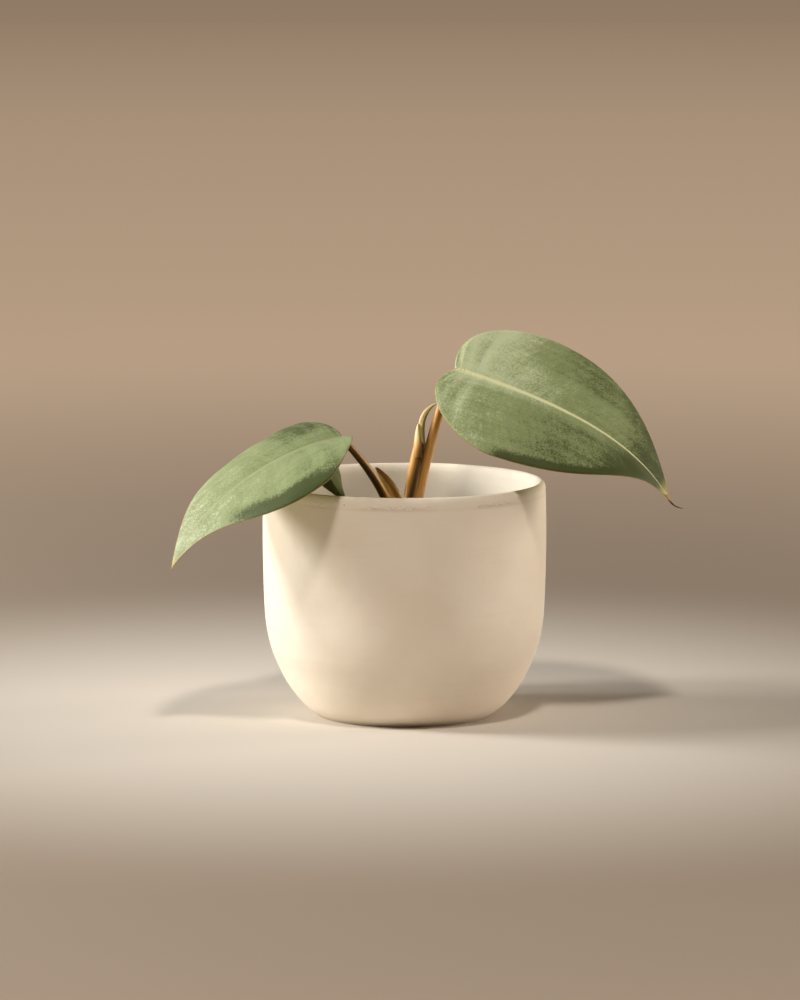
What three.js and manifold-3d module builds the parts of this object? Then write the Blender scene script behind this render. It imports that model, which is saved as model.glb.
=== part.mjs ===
// A young creeping philodendron with heart-shaped velvet leaves, in a round cream ceramic pot.
// Millimetres, +Z up. The origin is the centre of the pot's flat underside, and -Y is the front.
// The plant grows in a thin plastic inner pot, which stands inside the ceramic one.

import * as THREE from 'three';
import { mergeGeometries, mergeVertices } from 'three/addons/utils/BufferGeometryUtils.js';
import Module from 'manifold-3d';

const wasm = await Module();
wasm.setup();

// Clearance between two pieces that touch on the real plant.
const GAP = 0.3;
// Corners closer than this are one corner.
const WELD = 1e-3;
const UP = new THREE.Vector3(0, 0, 1);

// Ceramic pot: outside and inside are half sections, as radius and height from the foot upwards.
const POT_SIDES = 56;
const POT_FOOT_RADIUS = 43;
const POT_OUTSIDE = [
  [POT_FOOT_RADIUS, 0], [50.4, 5.8], [58, 15.6], [63.2, 26], [66.7, 36], [69, 51], [70, 82], [69.7, 111.5],
];
const POT_INSIDE = [
  [65.5, 111.5], [66, 88], [65.2, 58], [62.6, 39], [57.6, 25], [50, 13], [42.6, 6.4],
];
const POT_HEIGHT = 116;
const POT_FLOOR = 6;
const POT_CURVE_STEPS = 10;
const POT_LIP_STEPS = 6;

// Plastic inner pot: it tapers, stands on the ceramic floor and ends in a rolled rim.
const TUB_SIDES = 48;
const TUB_WALL = 1.2;
const TUB_BASE_RADIUS = 41.5;
const TUB_TOP_RADIUS = 59;
const TUB_HEIGHT = 91;
const TUB_RIM_DEPTH = 4;
const TUB_RIM_OVERHANG = 2.2;
const TUB_HOLES = 8;
const TUB_HOLE_RADIUS = 4;
const TUB_HOLE_CIRCLE = 30;

// Bark and coir mix: its level, the height of its lumps, and the loose chips on top.
const SOIL_LEVEL = 88.5;
const SOIL_RINGS = 6;
const SOIL_LUMP = 1.1;
const CHIP_COUNT = 26;
const CHIP_SIZE = [4.5, 9.5];
const CHIP_SEED = 11;

// Creeping stem: it lies half buried along X, thick and blunt at its growing end.
const RHIZOME = {
  path: [[-30, 5, 84], [-18, 4, 90], [-8, 2.5, 91], [9.5, 0.5, 89.5]],
  radius: 6.6,
  sides: 14,
  rings: 18,
};
const RHIZOME_BLUNTNESS = 0.8;
const SCAR_RELIEF = 0.35;
const SCAR_COUNT = 6;
const ROOTS = [
  { path: [[-22, 0, 88], [-24, -8, 90], [-26, -13, 88], [-27, -16, 80]], radius: 1.5 },
  { path: [[-14, 6, 90], [-15, 13, 92], [-17, 17, 88], [-18, 19, 80]], radius: 1.3 },
  { path: [[2, -3, 89], [5, -9, 91], [8, -13, 88], [9, -15, 80]], radius: 1.4 },
];

const ROOT_TAPER = 0.6;
const ROOT_RINGS = 8;

// Leaf stalks, each a cubic curve from the creeping stem to the leaf's notch.
const RIGHT_STALK = {
  path: [[4.3, 0.8, 91], [7, 0.6, 112], [15.6, 0, 150], [24.6, -1.7, 170.2]],
  radii: [2.6, 2.25, 1.95, 1.85, 1.8],
};
const LEFT_STALK = {
  path: [[-4, 1.2, 91], [-7.5, -1.1, 106.4], [-15.5, -16.3, 122.8], [-30.4, -29.5, 140]],
  radii: [2.6, 2.1, 1.75, 1.6, 1.5],
};
const SMALL_STALK = {
  path: [[-15, 4.5, 91], [-24, 11, 99], [-36, 15, 108], [-45, 8.4, 129.1]],
  radii: [1.6, 1.2, 1.1, 1.05],
};
const STALK_SIDES = 12;
const STALK_RINGS = 22;

// Winged sheath: it runs up the left of the right stalk and ends in a pointed free flap.
const SHEATH = {
  path: [[1.8, 0.4, 93], [2.6, 0, 107], [4.9, -0.4, 121], [7.5, -0.6, 135.5]],
  radii: [3.6, 3.5, 3.4, 2.4],
};
const SHEATH_RINGS = 14;
const NEW_LEAF_RINGS = 16;
const SHEATH_FLAP = {
  path: [[7.3, -0.6, 127], [7.6, -0.6, 133], [7.9, -0.6, 138.5], [7.9, -0.6, 144]],
  radius: 3.1, spread: 105, facing: 175, thickness: 0.7,
};

// Next leaf, still rolled: it leaves the mouth of the sheath and arches over to the right.
const NEW_LEAF = {
  path: [[9.6, -0.7, 128], [7.6, -0.8, 143], [9.2, -0.2, 149.5], [15.6, 1.2, 153.6]],
  radii: [1.0, 1.2, 1.3, 1.0, 0.3],
};

// Dry bract beside the left stalk: a pointed papery sheet, wrapped round the stalk's foot.
const BRACT = {
  path: [[-1.4, 0.2, 94.5], [-1.8, -0.5, 104.2], [-8.2, -1.3, 114.2], [-14.7, -3, 122]],
  radius: 3.9, spread: 80, facing: 320, thickness: 0.7,
};

// Both wrapped sheets narrow to a tip, which keeps these shares of the full radius and spread.
const WRAP_TAPER = 1.6;
const WRAP_TIP_RADIUS = 0.3;
const WRAP_TIP_SPREAD = 0.12;
const WRAP_COLUMNS = 8;
const WRAP_RINGS = 10;

// Blades. The midrib is a cubic curve from notch to tip. The outline of one half, flattened, has
// the widest point at (along, width), and handles that round off the lobe and draw out the tip.
// A side rises from the midrib at the angles lift (at notch, at tip), in degrees, and bends down by
// bend degrees per millimetre outwards, and by edge degrees more in its outer part.
const RIGHT_BLADE = {
  midrib: [[24.8, -1.8, 170.7], [99, -24, 149.6], [117.6, -16.3, 126.5], [128.8, -19.1, 109.5]],
  outline: { along: 38.3, width: 50, notch: [-14, 31], lobe: 17.5, shoulder: 50.5, point: [31.6, 28.5] },
  left: { lift: [39.3, 29.9], bend: 0.38, edge: 0 },
  right: { lift: [-15.2, -7.1], bend: 0.75, edge: 16 },
  lobeDip: 0.0025, veins: 7, pleat: 0.45, thickness: 0.8, ridge: [0.3, 1.5], columns: 28, rows: 7,
};
const LEFT_BLADE = {
  midrib: [[-30.7, -29.8, 140.5], [-62.4, -45, 136.8], [-101.9, -51.8, 109.8], [-112.3, -61.8, 80.4]],
  outline: { along: 28.6, width: 47.4, notch: [-5.1, 7], lobe: 18.6, shoulder: 40.6, point: [39.7, 10.5] },
  left: { lift: [13.6, -22.4], bend: 0.53, edge: 23 },
  right: { lift: [28.1, 17.8], bend: 1.09, edge: 0 },
  lobeDip: -0.0005, veins: 7, pleat: 0.4, thickness: 0.8, ridge: [0.25, 1.2], columns: 28, rows: 7,
};
const SMALL_BLADE = {
  midrib: [[-45, 8, 129.5], [-43, -1, 127], [-33.5, -9, 114], [-25.5, -12, 101]],
  outline: { along: 11, width: 11, notch: [-3, 5], lobe: 6, shoulder: 11, point: [12, 2.5] },
  left: { lift: [4, -8], bend: 1.6, edge: 0 },
  right: { lift: [4, -8], bend: 1.6, edge: 0 },
  lobeDip: 0, veins: 5, pleat: 0.2, thickness: 0.7, ridge: [0.15, 0.7], columns: 16, rows: 5,
};
// Dried thread at the tip of the right blade.
const THREAD = {
  path: [[127.9, -19.1, 111.2], [129.6, -19.1, 107.4], [132, -19.1, 104.6], [136.4, -19.1, 104.4]],
  radii: [0.9, 0.6, 0.45, 0.35],
};
// Side veins leave the midrib close together at the notch, and far apart towards the tip.
const VEIN_CROWDING = 1.6;
// Rows of a blade lie closer to each other beside the midrib.
const ROW_CROWDING = 1.5;
const RIDGE_WIDTH = 2.2;
const RIDGE_FADE = 0.8;
const PLEAT_START = 12;
const SECTION_STEPS = 10;
// The outer part of a blade, as a share of its width, which the edge angle bends.
const EDGE_START = 0.6;

const COLOURS = {
  ceramic: 0xe3d4bd,
  plastic: 0x2b2826,
  soil: 0x3b2b1f,
  rhizome: 0x6b4a2b,
  amber: 0x8a5a22,
  darkStalk: 0x4d3418,
  youngLeaf: 0xb3a25c,
  bract: 0x6f5b2a,
  velvet: 0x8a9b6d,
  deepVelvet: 0x4d5a33,
};

function vector(point) {
  return new THREE.Vector3(...point);
}

function cubic(points) {
  return new THREE.CubicBezierCurve3(...points.map(vector));
}

// Keeps positions alone, joins equal corners and drops the triangles that this closes up.
function weld(geometry) {
  const bare = geometry.clone();
  bare.deleteAttribute('normal');
  bare.deleteAttribute('uv');
  const joined = mergeVertices(bare, WELD);
  const index = joined.index.array;
  const kept = [];
  for (let i = 0; i < index.length; i += 3) {
    const [a, b, c] = [index[i], index[i + 1], index[i + 2]];
    if (a !== b && b !== c && c !== a) kept.push(a, b, c);
  }
  joined.setIndex(kept);
  return joined;
}

function toSolid(geometry) {
  const closed = weld(geometry);
  return new wasm.Manifold(new wasm.Mesh({
    numProp: 3,
    vertProperties: new Float32Array(closed.attributes.position.array),
    triVerts: new Uint32Array(closed.index.array),
  }));
}

function toGeometry(solid) {
  const mesh = solid.getMesh();
  const geometry = new THREE.BufferGeometry();
  geometry.setAttribute('position', new THREE.BufferAttribute(mesh.vertProperties, 3));
  geometry.setIndex(new THREE.BufferAttribute(mesh.triVerts, 1));
  return geometry;
}

// Moves each corner of a geometry to the place that a function of the corner gives.
function reshape(geometry, place) {
  const position = geometry.attributes.position;
  const corner = new THREE.Vector3();
  for (let i = 0; i < position.count; i += 1) {
    corner.fromBufferAttribute(position, i);
    position.setXYZ(i, ...place(corner).toArray());
  }
  return geometry;
}

// The value at t of numbers spread evenly from 0 to 1.
function blend(values, t) {
  const at = THREE.MathUtils.clamp(t, 0, 1) * (values.length - 1);
  const low = Math.min(Math.floor(at), values.length - 2);
  return THREE.MathUtils.lerp(values[low], values[low + 1], at - low);
}

// Directions across an upright curve at t: side points to the right, front towards the viewer.
function frameAt(curve, t) {
  const along = curve.getTangentAt(t);
  const side = new THREE.Vector3(0, 1, 0).cross(along).normalize();
  const front = side.clone().cross(along);
  return { side, front };
}

// Round bar of changing radius along a curve, closed at both ends.
function bar(curve, radiusAt, sides, rings) {
  const rod = new THREE.CylinderGeometry(1, 1, 1, sides, rings);
  return reshape(rod, (corner) => {
    const t = THREE.MathUtils.clamp(corner.y + 0.5, 0, 1);
    const { side, front } = frameAt(curve, t);
    const radius = radiusAt(t);
    return curve.getPointAt(t)
      .addScaledVector(side, corner.x * radius)
      .addScaledVector(front, corner.z * radius);
  });
}

// Stalk grown thicker by extra all round, and longer by extra at its top end.
function stalk({ path, radii }, extra = 0, rings = STALK_RINGS) {
  const points = path.map(vector);
  const [beforeLast, last] = points.slice(-2);
  last.addScaledVector(last.clone().sub(beforeLast).normalize(), extra);
  const curve = new THREE.CubicBezierCurve3(...points);
  return toSolid(bar(curve, (t) => blend(radii, t) + extra, STALK_SIDES, rings));
}

// Creeping stem, ringed by old leaf scars, with blunt ends.
function rhizomeBody(extra = 0) {
  const curve = cubic(RHIZOME.path);
  const radiusAt = (t) => {
    const blunt = Math.sqrt(1 - RHIZOME_BLUNTNESS * Math.abs(2 * t - 1) ** 5);
    const scar = Math.cos(2 * Math.PI * SCAR_COUNT * t) * SCAR_RELIEF;
    return RHIZOME.radius * blunt + scar + extra;
  };
  let body = toSolid(bar(curve, radiusAt, RHIZOME.sides, RHIZOME.rings));
  for (const root of ROOTS) {
    const radii = [root.radius, root.radius * ROOT_TAPER];
    body = body.add(stalk({ path: root.path, radii }, extra, ROOT_RINGS));
  }
  return body;
}

// Pointed sheet wrapped round a curve. Its middle faces the angle facing, counted in degrees from
// the right towards the front, and it reaches spread degrees to either side of that.
function wrap({ path, radius, spread, facing, thickness }) {
  const curve = cubic(path);
  const place = (u, v, offset) => {
    const { side, front } = frameAt(curve, v);
    const narrowing = Math.sqrt(Math.max(0, 1 - v ** WRAP_TAPER));
    const half = THREE.MathUtils.degToRad(spread) * THREE.MathUtils.lerp(WRAP_TIP_SPREAD, 1, narrowing);
    const angle = THREE.MathUtils.degToRad(facing) + u * half;
    const reach = radius * THREE.MathUtils.lerp(WRAP_TIP_RADIUS, 1, narrowing) + offset;
    return curve.getPointAt(v)
      .addScaledVector(side, Math.cos(angle) * reach)
      .addScaledVector(front, Math.sin(angle) * reach);
  };
  return toSolid(sheetBody(place, WRAP_COLUMNS, WRAP_RINGS, thickness / 2, -thickness / 2));
}

// Closed body from one surface rule place(u, v, offset), with u from -1 to 1 and v from 0 to 1.
// Both faces are split into triangles alike, so they never cross, and strips close the rim.
function sheetBody(place, across, upwards, over, under) {
  const face = (offset) => reshape(
    new THREE.PlaneGeometry(2, 1, across, upwards),
    (corner) => place(corner.x, corner.y + 0.5, offset),
  );
  const level = (height) => THREE.MathUtils.lerp(under, over, height + 0.5);
  const strip = (steps, sheetPoint) => reshape(
    new THREE.PlaneGeometry(1, 1, steps, 1),
    (corner) => place(...sheetPoint(corner.x + 0.5), level(corner.y)),
  );
  const upper = face(over);
  upper.index.array.reverse();
  return mergeGeometries([
    upper,
    face(under),
    strip(across, (t) => [1 - 2 * t, 0]),
    strip(upwards, (t) => [-1, t]),
    strip(across, (t) => [2 * t - 1, 1]),
    strip(upwards, (t) => [1, 1 - t]),
  ]);
}

// Flattened outline of one half of a blade, from the notch round the lobe to the tip.
function marginCurve(outline, length) {
  const { along, width, notch, lobe, shoulder, point } = outline;
  const arc = (...points) => new THREE.CubicBezierCurve(...points.map((p) => new THREE.Vector2(...p)));
  const widest = [along, width];
  const margin = new THREE.CurvePath();
  margin.add(arc([0, 0], notch, [along - lobe, width], widest));
  margin.add(arc(widest, [along + shoulder, width], [length - point[0], point[1]], [length, 0]));
  return margin;
}

// Blade body: u runs from the right margin through the midrib to the left one, v from notch to tip.
function bladeBody(blade) {
  const midrib = cubic(blade.midrib);
  const length = midrib.getLength();
  const margin = marginCurve(blade.outline, length);
  const rowOf = (u) => Math.sign(u) * Math.abs(u) ** ROW_CROWDING;

  const place = (u, v, offset) => {
    const reach = Math.abs(rowOf(u));
    const root = length * v ** VEIN_CROWDING;
    const edge = margin.getPointAt(v);
    const s = THREE.MathUtils.lerp(root, edge.x, reach);
    const w = edge.y * reach;
    const side = u < 0 ? blade.right : blade.left;

    const t = THREE.MathUtils.clamp(s / length, 0, 1);
    const along = midrib.getTangentAt(t);
    const left = UP.clone().cross(along).normalize();
    const above = along.clone().cross(left);
    const outwards = left.clone().multiplyScalar(u < 0 ? -1 : 1);

    const spot = midrib.getPointAt(t).addScaledVector(along, Math.min(s, 0));
    const lift = blend(side.lift, t);
    const angleAt = (distance) => {
      const outer = Math.max(0, distance / blade.outline.width - EDGE_START) / (1 - EDGE_START);
      return THREE.MathUtils.degToRad(lift - side.bend * distance - side.edge * outer ** 2);
    };
    for (let step = 0; step < SECTION_STEPS; step += 1) {
      const angle = angleAt(w * (step + 0.5) / SECTION_STEPS);
      spot.addScaledVector(outwards, Math.cos(angle) * w / SECTION_STEPS);
      spot.addScaledVector(above, Math.sin(angle) * w / SECTION_STEPS);
    }
    spot.addScaledVector(above, -blade.lobeDip * Math.min(s, 0) ** 2);

    const tilt = angleAt(w) * Math.min(1, w / RIDGE_WIDTH);
    const normal = above.clone().multiplyScalar(Math.cos(tilt)).addScaledVector(outwards, -Math.sin(tilt));
    const calm = Math.sin(Math.PI * reach) * Math.min(1, w / PLEAT_START);
    const pleat = blade.pleat * calm * Math.cos(2 * Math.PI * blade.veins * v);
    const height = blade.ridge[offset > 0 ? 0 : 1] * (1 - RIDGE_FADE * t);
    const ridge = height * Math.exp(-((w / RIDGE_WIDTH) ** 2));
    return spot.addScaledVector(normal, pleat + offset + Math.sign(offset) * ridge);
  };
  const half = blade.thickness / 2;
  return toSolid(sheetBody(place, 2 * blade.rows, blade.columns, half, -half));
}

// Ceramic pot: swelling wall, rounded lip, flat floor and a flat underside.
function ceramicPot() {
  const section = (points) => new THREE.SplineCurve(points.map((p) => new THREE.Vector2(...p)));
  const outside = section(POT_OUTSIDE).getPoints(POT_CURVE_STEPS);
  const inside = section(POT_INSIDE).getPoints(POT_CURVE_STEPS);
  const [outerLip, innerLip] = [outside.at(-1), inside[0]];
  const lip = [];
  for (let i = 1; i < POT_LIP_STEPS; i += 1) {
    const turn = Math.PI * i / POT_LIP_STEPS;
    const share = (1 - Math.cos(turn)) / 2;
    lip.push(new THREE.Vector2(
      THREE.MathUtils.lerp(outerLip.x, innerLip.x, share),
      THREE.MathUtils.lerp(outerLip.y, innerLip.y, share) + Math.sin(turn) * (POT_HEIGHT - outerLip.y),
    ));
  }
  return new THREE.LatheGeometry([
    new THREE.Vector2(0, 0), ...outside, ...lip, ...inside,
    new THREE.Vector2(POT_INSIDE.at(-1)[0] - 1, POT_FLOOR), new THREE.Vector2(0, POT_FLOOR),
  ], POT_SIDES).rotateX(Math.PI / 2);
}

// Inner radius of the plastic pot at a height above its own underside.
function tubInside(height) {
  return THREE.MathUtils.mapLinear(height, 0, TUB_HEIGHT, TUB_BASE_RADIUS, TUB_TOP_RADIUS) - TUB_WALL;
}

function innerPot() {
  const rimStart = TUB_HEIGHT - TUB_RIM_DEPTH;
  const rimRadius = TUB_TOP_RADIUS + TUB_RIM_OVERHANG;
  const profile = [
    [0, 0], [TUB_BASE_RADIUS, 0], [tubInside(rimStart) + TUB_WALL, rimStart], [rimRadius, rimStart],
    [rimRadius, TUB_HEIGHT - 1], [rimRadius - 1, TUB_HEIGHT], [tubInside(TUB_HEIGHT), TUB_HEIGHT],
    [tubInside(TUB_WALL), TUB_WALL], [0, TUB_WALL],
  ].map((p) => new THREE.Vector2(...p));
  let body = toSolid(new THREE.LatheGeometry(profile, TUB_SIDES).rotateX(Math.PI / 2));
  for (let i = 0; i < TUB_HOLES; i += 1) {
    const turn = 2 * Math.PI * i / TUB_HOLES;
    const hole = new THREE.CylinderGeometry(TUB_HOLE_RADIUS, TUB_HOLE_RADIUS, 4 * TUB_WALL, 12);
    hole.rotateX(Math.PI / 2);
    hole.translate(TUB_HOLE_CIRCLE * Math.cos(turn), TUB_HOLE_CIRCLE * Math.sin(turn), 0);
    body = body.subtract(toSolid(hole));
  }
  return toGeometry(body);
}

// Repeatable random numbers from 0 to 1.
function seededRandom(seed) {
  let state = seed;
  return () => {
    state = (state * 16807) % 2147483647;
    return state / 2147483647;
  };
}

// Soft lumps in the surface of the potting mix.
function lump(x, y) {
  return SOIL_LUMP * (Math.sin(x / 6.1 + 0.7) * Math.cos(y / 7.3) + 0.6 * Math.sin((x + 2 * y) / 4.7));
}

function soilBody() {
  const floor = POT_FLOOR + GAP + TUB_WALL + GAP;
  const tubZero = POT_FLOOR + GAP;
  const topRadius = tubInside(SOIL_LEVEL - tubZero) - GAP;
  const profile = [new THREE.Vector2(0, floor), new THREE.Vector2(tubInside(floor - tubZero) - GAP, floor)];
  for (let ring = SOIL_RINGS; ring >= 0; ring -= 1) {
    profile.push(new THREE.Vector2(topRadius * ring / SOIL_RINGS, SOIL_LEVEL));
  }
  const cake = new THREE.LatheGeometry(profile, TUB_SIDES).rotateX(Math.PI / 2);
  reshape(cake, (corner) => {
    const inner = 1 - Math.hypot(corner.x, corner.y) / topRadius;
    if (corner.z > SOIL_LEVEL - 1 && inner > WELD) {
      corner.z += lump(corner.x, corner.y) * Math.min(1, inner * 4);
    }
    return corner;
  });
  let body = toSolid(cake);

  const random = seededRandom(CHIP_SEED);
  for (let i = 0; i < CHIP_COUNT; i += 1) {
    const size = THREE.MathUtils.lerp(...CHIP_SIZE, random());
    const distance = (topRadius - CHIP_SIZE[1]) * Math.sqrt((i + 0.5) / CHIP_COUNT);
    const turn = i * 2.4 + random();
    const chip = new THREE.BoxGeometry(size, size * 0.55, size * 0.4);
    chip.rotateX(random() - 0.5).rotateY(random() - 0.5).rotateZ(random() * Math.PI);
    chip.translate(distance * Math.cos(turn), distance * Math.sin(turn), SOIL_LEVEL + 0.6);
    body = body.add(toSolid(chip));
  }
  return body;
}

function piece(name, geometry, colour, roughness) {
  const material = new THREE.MeshStandardMaterial({ color: colour, roughness, metalness: 0 });
  const mesh = new THREE.Mesh(geometry, material);
  mesh.name = name;
  return mesh;
}

// Every stalk as it stands, and swollen by the gap for the holes that it stands in.
const rightStalk = stalk(RIGHT_STALK);
const leftStalk = stalk(LEFT_STALK);
const smallStalk = stalk(SMALL_STALK);
const newLeaf = stalk(NEW_LEAF, 0, NEW_LEAF_RINGS);
const sheath = stalk(SHEATH, 0, SHEATH_RINGS).add(wrap(SHEATH_FLAP));
const rightStalkAndSheath = rightStalk.add(sheath).subtract(stalk(NEW_LEAF, GAP, NEW_LEAF_RINGS));

const stalkHoles = stalk(RIGHT_STALK, GAP)
  .add(stalk(SHEATH, GAP, SHEATH_RINGS))
  .add(stalk(LEFT_STALK, GAP))
  .add(stalk(SMALL_STALK, GAP));
const rhizome = rhizomeBody().subtract(stalkHoles);
const soil = soilBody().subtract(rhizomeBody(GAP)).subtract(stalkHoles);
const bract = wrap(BRACT).subtract(stalkHoles).subtract(rhizomeBody(GAP));
const soilRound = soil.subtract(wrap({ ...BRACT, thickness: BRACT.thickness + 2 * GAP }));

const thread = stalk(THREAD, 0, ROOT_RINGS);
const rightBlade = bladeBody(RIGHT_BLADE).add(thread).subtract(stalk(RIGHT_STALK, GAP));
const leftBlade = bladeBody(LEFT_BLADE).subtract(stalk(LEFT_STALK, GAP));
const smallBlade = bladeBody(SMALL_BLADE).subtract(stalk(SMALL_STALK, GAP));

const pots = new THREE.Group();
pots.add(piece('pot', ceramicPot(), COLOURS.ceramic, 0.6));
const tub = piece('inner_pot', innerPot(), COLOURS.plastic, 0.55);
tub.position.z = POT_FLOOR + GAP;
pots.add(tub);
pots.add(piece('soil', toGeometry(soilRound), COLOURS.soil, 0.95));

const plant = new THREE.Group();
plant.add(piece('rhizome', toGeometry(rhizome), COLOURS.rhizome, 0.8));
plant.add(piece('right_stalk', toGeometry(rightStalkAndSheath), COLOURS.amber, 0.5));
plant.add(piece('new_leaf', toGeometry(newLeaf), COLOURS.youngLeaf, 0.5));
plant.add(piece('left_stalk', toGeometry(leftStalk), COLOURS.darkStalk, 0.5));
plant.add(piece('bract', toGeometry(bract), COLOURS.bract, 0.7));
plant.add(piece('small_stalk', toGeometry(smallStalk), COLOURS.darkStalk, 0.5));
plant.add(piece('right_blade', toGeometry(rightBlade), COLOURS.velvet, 0.75));
plant.add(piece('left_blade', toGeometry(leftBlade), COLOURS.velvet, 0.75));
plant.add(piece('small_blade', toGeometry(smallBlade), COLOURS.deepVelvet, 0.75));

const philodendron = new THREE.Group();
philodendron.add(pots, plant);

export default philodendron;
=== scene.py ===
# %% [markdown]
# # A potted creeping philodendron
#
# This notebook dresses a plain solid model of a young philodendron with velvet leaves, in a round
# cream ceramic pot. The solid model comes packed as a fixed frame. It already has the right sizes,
# and each piece below takes the place of one of its nodes, with finer form and a real finish.
#
# Sizes are written in millimetres, because a potter and a gardener think in them, and every mesh is
# scaled to metres once, as it is finished.

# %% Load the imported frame
import math
import random
from bisect import bisect_right

import bmesh
import bpy
from mathutils import Matrix, Vector, noise


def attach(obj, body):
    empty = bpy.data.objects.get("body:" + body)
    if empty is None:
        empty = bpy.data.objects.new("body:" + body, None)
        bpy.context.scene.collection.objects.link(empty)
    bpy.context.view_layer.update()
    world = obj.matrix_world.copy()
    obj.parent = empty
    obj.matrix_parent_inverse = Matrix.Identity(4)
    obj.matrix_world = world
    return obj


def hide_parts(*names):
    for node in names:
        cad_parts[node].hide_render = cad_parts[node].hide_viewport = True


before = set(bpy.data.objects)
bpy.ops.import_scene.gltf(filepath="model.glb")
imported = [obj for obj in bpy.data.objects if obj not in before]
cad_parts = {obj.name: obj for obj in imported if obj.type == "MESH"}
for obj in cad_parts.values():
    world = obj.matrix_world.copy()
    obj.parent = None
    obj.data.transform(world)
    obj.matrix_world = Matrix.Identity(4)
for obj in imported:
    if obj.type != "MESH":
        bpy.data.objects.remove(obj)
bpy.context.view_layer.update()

MM = 0.001

# %% [markdown]
# ## Camera
#
# The photograph was taken from about 2.6 m away with a long lens, slightly above the rim, so that
# the pot's mouth shows as a thin ellipse. A long lens keeps upright things upright. Blender's
# sensor width belongs to the picture's longer side, which is the height here.

# %% Set up the camera
CAMERA_PLACE = Vector((-0.0022, -2.575, 0.4504))
CAMERA_DIP = math.radians(7.62)
CAMERA_LENS = 189.86
SENSOR_WIDTH = 36

camera = bpy.data.objects.new("camera", bpy.data.cameras.new("camera"))
camera.data.lens = CAMERA_LENS
camera.data.sensor_width = SENSOR_WIDTH
camera.data.clip_start, camera.data.clip_end = 0.1, 40
camera.location = CAMERA_PLACE
camera.rotation_euler = (math.pi / 2 - CAMERA_DIP, 0, 0)
bpy.context.scene.collection.objects.link(camera)
bpy.context.scene.camera = camera
print(f"the camera stands {CAMERA_PLACE.length:.2f} m away, with a {CAMERA_LENS:.0f} mm lens")

# %% [markdown]
# ## Light
#
# Four soft lamps and a dim warm glow light the plant. The key lamp stands high on the left, where
# it rakes over the leaves and reaches down into the pot's mouth. A second lamp stands low on the
# left and a little behind, and reaches in under the left leaf, so that side of the pot is bright. A
# smaller one above the camera lights the front and the inside of the far wall, and throws the
# leaf's shadow onto the pot. A warm one on the right rounds off the far side. Each lamp is placed
# by its azimuth, counted from the viewer to the right, its height above the horizon in degrees, and
# its distance, so that a lamp can be moved without changing how bright it is.

# %% Set up the light
def shown(red, green, blue):
    """Turns a colour as a screen shows it, from 0 to 255, into the linear numbers Blender uses."""
    values = (value / 255 for value in (red, green, blue))
    return tuple(v / 12.92 if v <= 0.04045 else ((v + 0.055) / 1.055) ** 2.4 for v in values)


POT_MIDDLE = Vector((0, 0, 0.09))


def soft_lamp(name, azimuth, elevation, distance, size, strength, colour):
    """A round lamp that looks at the pot. Strength 1 shows white things that face it as white."""
    turn, rise = math.radians(azimuth), math.radians(elevation)
    flat = math.cos(rise)
    towards = Vector((math.sin(turn) * flat, -math.cos(turn) * flat, math.sin(rise)))
    lamp = bpy.data.objects.new(name, bpy.data.lights.new(name, "AREA"))
    lamp.data.shape = "DISK"
    lamp.data.size = size
    lamp.data.energy = strength * (math.pi * distance) ** 2
    lamp.data.color = colour
    lamp.location = POT_MIDDLE + towards * distance
    lamp.rotation_euler = towards.to_track_quat("Z", "Y").to_euler()
    lamp.visible_camera = False
    bpy.context.scene.collection.objects.link(lamp)
    print(f"{name} at {[round(value, 2) for value in lamp.location]} m, {lamp.data.energy:.1f} W")


soft_lamp("key_lamp", -83, 34, 1.3, 0.3, 0.6, (1, 0.98, 0.93))
soft_lamp("low_lamp", -98, 13, 1.3, 0.35, 0.85, (1, 0.98, 0.93))
soft_lamp("front_lamp", 4, 58, 1.6, 0.2, 0.5, (1, 0.92, 0.82))
soft_lamp("right_lamp", 106, 10, 1.5, 0.5, 0.56, (1, 0.9, 0.8))

WARM_GLOW = (0.012, 0.01, 0.008, 1)

surround = bpy.data.worlds.new("warm_surround")
surround.use_nodes = True
surround.node_tree.nodes["Background"].inputs["Color"].default_value = WARM_GLOW
bpy.context.scene.world = surround
bpy.context.scene.view_settings.view_transform = "Standard"

# %% [markdown]
# ## Writing a material as a sum
#
# A material is a tree of nodes, but a sum such as `1 - mask * 0.5` is easier to read. The small
# class below wraps one socket, and each operator adds the Math node it stands for. Vectors go
# through Vector Math, because a Math node would turn them grey.

# %% Wrap a socket so that it can stand in a sum
class Wire:
    """One socket of a material, used in sums like a number."""

    def __init__(self, finish, socket):
        self.finish, self.socket = finish, socket

    def joined(self, operation, *terms):
        wires = [term for term in terms if isinstance(term, Wire)]
        vectors = any(wire.socket.type == "VECTOR" for wire in wires)
        kind = "ShaderNodeVectorMath" if vectors else "ShaderNodeMath"
        return self.finish.node(kind, {"operation": operation}, dict(enumerate(terms)))

    def __add__(self, other):
        return self.joined("ADD", self, other)

    __radd__ = __add__

    def __mul__(self, other):
        return self.joined("MULTIPLY", self, other)

    __rmul__ = __mul__

    def __sub__(self, other):
        return self.joined("SUBTRACT", self, other)

    def __rsub__(self, other):
        return self.joined("SUBTRACT", other, self)

    def __truediv__(self, other):
        return self.joined("DIVIDE", self, other)

    def __abs__(self):
        return self.joined("ABSOLUTE", self)


# %% [markdown]
# ## One method for every other node
#
# A material could be wired by hand, with three lines for each node. Here every node comes from the
# one method `node`, which sets it up first and then fills its sockets. The methods below it are
# short names for the few nodes that all the finishes share: cloudy noise, a smooth ramp, a mix of
# two colours, a soft round spot, and the shader itself with its bump.

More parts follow.
